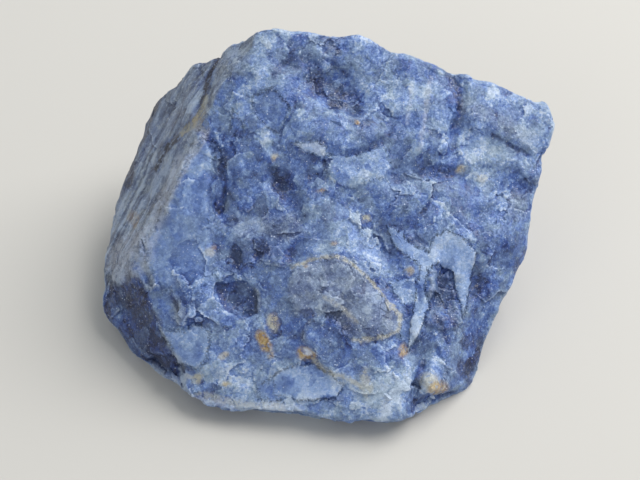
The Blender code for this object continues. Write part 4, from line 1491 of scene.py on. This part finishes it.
@dataclass(frozen=True)
class BlueStone:
    """The stone's finish: crystal from frosty over blue to black-blue, with grey, ochre, cream and brown, and
    painted shade and glints.
    """

    ramp: tuple[tuple[float, Colour], ...] = (
        (0.00, (0.60, 0.70, 0.88, 1.0)),
        (0.22, (0.28, 0.41, 0.72, 1.0)),
        (0.42, (0.130, 0.225, 0.53, 1.0)),
        (0.60, (0.064, 0.130, 0.39, 1.0)),
        (0.80, (0.030, 0.064, 0.25, 1.0)),
        (1.00, (0.011, 0.020, 0.08, 1.0)),
    )
    pale_steel: Colour = (0.32, 0.43, 0.56, 1.0)
    dark_steel: Colour = (0.040, 0.072, 0.18, 1.0)
    grey: Colour = (0.40, 0.47, 0.58, 1.0)
    dark_grey: Colour = (0.055, 0.07, 0.105, 1.0)
    ochre: Colour = (0.58, 0.42, 0.16, 1.0)
    rust: Colour = (0.42, 0.24, 0.07, 1.0)
    cream: Colour = (0.64, 0.62, 0.50, 1.0)
    # Near-black brown: the brown of veins and lines, and painted shade on the downward facet at the lower
    # left.
    brown_and_shade: Colour = (0.035, 0.033, 0.045, 1.0)
    # Frosty white: frost on ridges and veins, and painted glints.
    frost_and_glint: Colour = (0.70, 0.75, 0.88, 1.0)
    specular: float = 0.5
    ior: float = 1.48
    roughness: float = 0.52
    glassy_band: Band = (0.45, 0.85)
    glassy_change: float = -0.2
    clear_calm: float = 0.75
    extra_depth: float = 0.06
    grain_depth: float = 0.14
    veil_depth: float = -0.10
    lace_depth: float = -0.09
    black_depth: float = 0.11
    steel_band: Band = (0.35, 0.65)
    steel_most: float = 0.35
    haze_steel: float = 0.3
    grey_band: Band = (0.18, 0.85)
    grey_least: float = 0.70
    grey_veil: float = 0.25
    mark_least: float = 0.35
    mark_ragged: float = 0.65
    speck_least: float = 0.35
    speck_lace: float = 0.5
    dust_most: float = 0.4
    tiny_height: float = 0.5
    bump: float = 0.17

    def material(self) -> bpy.types.Material:
        """The finish as a material.

        Returns:
            A material that reads the stone's attributes.
        """
        material = bpy.data.materials.new("blue_sodalite")
        material.use_nodes = True
        paint = Paint(material.node_tree)
        fine = paint.placed(paint.effects.grain, Size=0.36, Bend=0.3)["Tone"]
        veil, lace = paint.flecks(1.7, 0.42), paint.flecks(0.5, 0.46)
        uneven = paint.math("MULTIPLY_ADD", paint.tint(CLEAR), -self.clear_calm, 1.0)
        depth_and_shade = self.depth_and_shade(paint, fine, veil, lace, uneven)
        colour = self.greyed(paint, self.crystal(paint, depth_and_shade), depth_and_shade, veil, uneven)
        colour = self.marked(paint, colour, fine)
        glassy = paint.band(depth_and_shade, *self.glassy_band)
        surface = material.node_tree.nodes["Principled BSDF"]
        for name, value in {
            "Metallic": 0.0,
            "Specular IOR Level": self.specular,
            "IOR": self.ior,
            "Base Color": self.dust_and_glints(paint, colour, lace),
            "Roughness": paint.math("MULTIPLY_ADD", glassy, self.glassy_change, self.roughness),
            "Normal": self.relief(paint, uneven),
        }.items():
            paint.feed(surface.inputs[name], value)
        return material

    def depth_and_shade(
        self, paint: Paint, fine: object, veil: object, lace: object, uneven: object
    ) -> bpy.types.NodeSocket:
        """How dark the stone is: the mesh's own depth, which holds crystal tone and painted shade, mottled by
        grains and flecks.

        Args:
            paint: the material's nodes.
            fine: the tone of the fine grains.
            veil: where the large pale flecks are.
            lace: where the small pale flecks are.
            uneven: how uneven the crystal is.

        Returns:
            The depth, from 0 to 1.
        """
        mottle = paint.math("MULTIPLY", paint.math("SUBTRACT", fine, 0.5), self.grain_depth)
        black = paint.flecks(0.7, 0.36)
        for mask, amount in ((veil, self.veil_depth), (lace, self.lace_depth), (black, self.black_depth)):
            mottle = paint.math("MULTIPLY_ADD", mask, amount, mottle)
        plain = paint.math("ADD", paint.tint(DEPTH), self.extra_depth)
        return paint.math("MULTIPLY_ADD", mottle, uneven, plain)

    def crystal(self, paint: Paint, depth_and_shade: object) -> bpy.types.NodeSocket:
        """The blue for that depth, of crystal and of painted shade alike."""
        ramp = paint.add("ShaderNodeValToRGB", {"Fac": depth_and_shade})
        stops = ramp.color_ramp.elements
        while len(stops) < len(self.ramp):
            stops.new(0.5)
        for stop, (position, colour) in zip(stops, self.ramp):
            stop.position = position
            stop.color = colour
        return ramp.outputs["Color"]

    def greyed(
        self, paint: Paint, colour: object, depth_and_shade: object, veil: object, uneven: object
    ) -> bpy.types.NodeSocket:
        """The colour with steel-blue grains and haze in it, and grey stone over it.

        Args:
            paint: the material's nodes.
            colour: the crystal's blue.
            depth_and_shade: how dark the stone is, painted shade included.
            veil: where the large pale flecks are.
            uneven: how uneven the crystal is.

        Returns:
            The mixed colour.
        """
        kind = paint.placed(paint.effects.grain, Size=1.5, Bend=1.1)["Kind"]
        steel = paint.math("MULTIPLY", paint.band(kind, *self.steel_band), self.steel_most)
        steel = paint.math("MULTIPLY_ADD", paint.flecks(4.5, 0.5), self.haze_steel, steel)
        steel = paint.math("MULTIPLY", steel, uneven)
        colour = paint.mix(steel, colour, paint.mix(depth_and_shade, self.pale_steel, self.dark_steel))
        grey = paint.mix(paint.band(depth_and_shade, *self.grey_band), self.grey, self.dark_grey)
        share = paint.math("MULTIPLY_ADD", veil, self.grey_veil, self.grey_least)
        return paint.mix(paint.math("MULTIPLY", paint.tint(GREY), share), colour, grey)

    def marked(self, paint: Paint, colour: object, fine: object) -> bpy.types.NodeSocket:
        """The colour with the brown, cream, ochre and frosty marks over it, and the painted glint, whose
        edges are ragged.

        Args:
            paint: the material's nodes.
            colour: what lies under the marks.
            fine: the tone of the fine grains.

        Returns:
            The mixed colour.
        """
        ragged = paint.flecks(0.8, 0.62)
        rusty = paint.mix(fine, self.ochre, self.rust)
        for kind, over in ((BROWN, self.brown_and_shade), (CREAM, self.cream), (OCHRE, rusty), (FROST_AND_GLINT, self.frost_and_glint)):
            share = paint.math("MULTIPLY_ADD", ragged, self.mark_ragged, self.mark_least)
            colour = paint.mix(paint.math("MULTIPLY", paint.tint(kind), share), colour, over)
        return colour

    def dust_and_glints(self, paint: Paint, colour: object, lace: object) -> bpy.types.NodeSocket:
        """The colour with white specks on it: partly fine dust and partly painted glints of tiny crystal
        faces.

        Args:
            paint: the material's nodes.
            colour: what lies under the specks.
            lace: where the small pale flecks are, in which the specks show most.

        Returns:
            The mixed colour.
        """
        sugar = paint.effects.sugar
        specks = paint.placed(sugar, Size=0.36, Share=0.22, Reach=0.38)["Mask"]
        dust = paint.placed(sugar, Size=0.2, Share=0.22, Reach=0.4)["Mask"]
        share = paint.math("MULTIPLY_ADD", lace, self.speck_lace, self.speck_least)
        specks = paint.math("MULTIPLY", specks, share)
        specks = paint.math("MAXIMUM", specks, paint.math("MULTIPLY", dust, self.dust_most))
        return paint.mix(specks, colour, self.frost_and_glint)

    def relief(self, paint: Paint, uneven: object) -> bpy.types.NodeSocket:
        """The normal of a surface of tiny crystal faces."""
        faces, tiny = (paint.placed(paint.effects.sparkle, Size=size)["Height"] for size in (0.42, 0.2))
        height = paint.math("MULTIPLY", paint.math("MULTIPLY_ADD", tiny, self.tiny_height, faces), uneven)
        return paint.add("ShaderNodeBump", {
            "Height": height, "Strength": 1.0, "Distance": self.bump * MM}).outputs["Normal"]


@dataclass(frozen=True)
class Lamp:
    """A soft square light: where it is from the stone, its side, its power and its colour."""

    name: str
    at: Triple
    side: float
    power: float
    colour: Triple

    def place(self) -> bpy.types.Object:
        """Puts the light in the scene, turned to the stone."""
        data = bpy.data.lights.new(self.name, "AREA")
        data.size = self.side
        data.energy = self.power
        data.color = self.colour
        lamp = in_scene(self.name, data)
        lamp.location = self.at
        lamp.rotation_euler = (-Vector(self.at)).to_track_quat("-Z", "Y").to_euler()
        return lamp


@dataclass(frozen=True)
class Studio:
    """A plain pale floor under soft light."""

    floor_half: float = 1.5
    floor_colour: Colour = (0.56, 0.54, 0.51, 1.0)
    floor_roughness: float = 0.8
    sky_colour: Colour = (0.90, 0.96, 1.0, 1.0)
    sky_strength: float = 0.50
    lamps: tuple[Lamp, ...] = (
        Lamp("window", (0.50, 0.32, 0.66), 0.8, 10.4, (1.0, 0.99, 0.96)),
        Lamp("fill", (-0.5, -0.7, 0.5), 0.6, 1.2, (0.9, 0.95, 1.0)),
    )

    def floor(self) -> bpy.types.Object:
        """The floor, as stage.

        Returns:
            The floor's object.
        """
        half = self.floor_half
        corners = [(-half, -half, 0.0), (half, -half, 0.0), (half, half, 0.0), (-half, half, 0.0)]
        mesh = bpy.data.meshes.new("floor")
        mesh.from_pydata(corners, [], [(0, 1, 2, 3)])
        material = bpy.data.materials.new("pale_floor")
        material.use_nodes = True
        surface = material.node_tree.nodes["Principled BSDF"]
        surface.inputs["Base Color"].default_value = self.floor_colour
        surface.inputs["Roughness"].default_value = self.floor_roughness
        mesh.materials.append(material)
        floor = in_scene("floor", mesh)
        floor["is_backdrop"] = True
        return floor

    def build(self) -> None:
        """Makes the floor, the lights and the sky."""
        self.floor()
        for lamp in self.lamps:
            lamp.place()
        world = bpy.data.worlds.new("sky")
        world.use_nodes = True
        sky = world.node_tree.nodes["Background"]
        sky.inputs["Color"].default_value = self.sky_colour
        sky.inputs["Strength"].default_value = self.sky_strength
        bpy.context.scene.world = world
        bpy.context.scene.view_settings.view_transform = "Standard"


def main() -> None:
    """Builds the camera, the stone and the studio."""
    logging.basicConfig(level=logging.INFO, format="%(name)s: %(message)s")
    eye = Eye()
    bpy.context.scene.camera = eye.camera()
    stone = BrokenStone(eye=eye).build()
    LOG.info("%s: %d triangles", stone.name, sum(len(face.vertices) - 2 for face in stone.data.polygons))
    Studio().build()


if __name__ == "__main__":
    main()
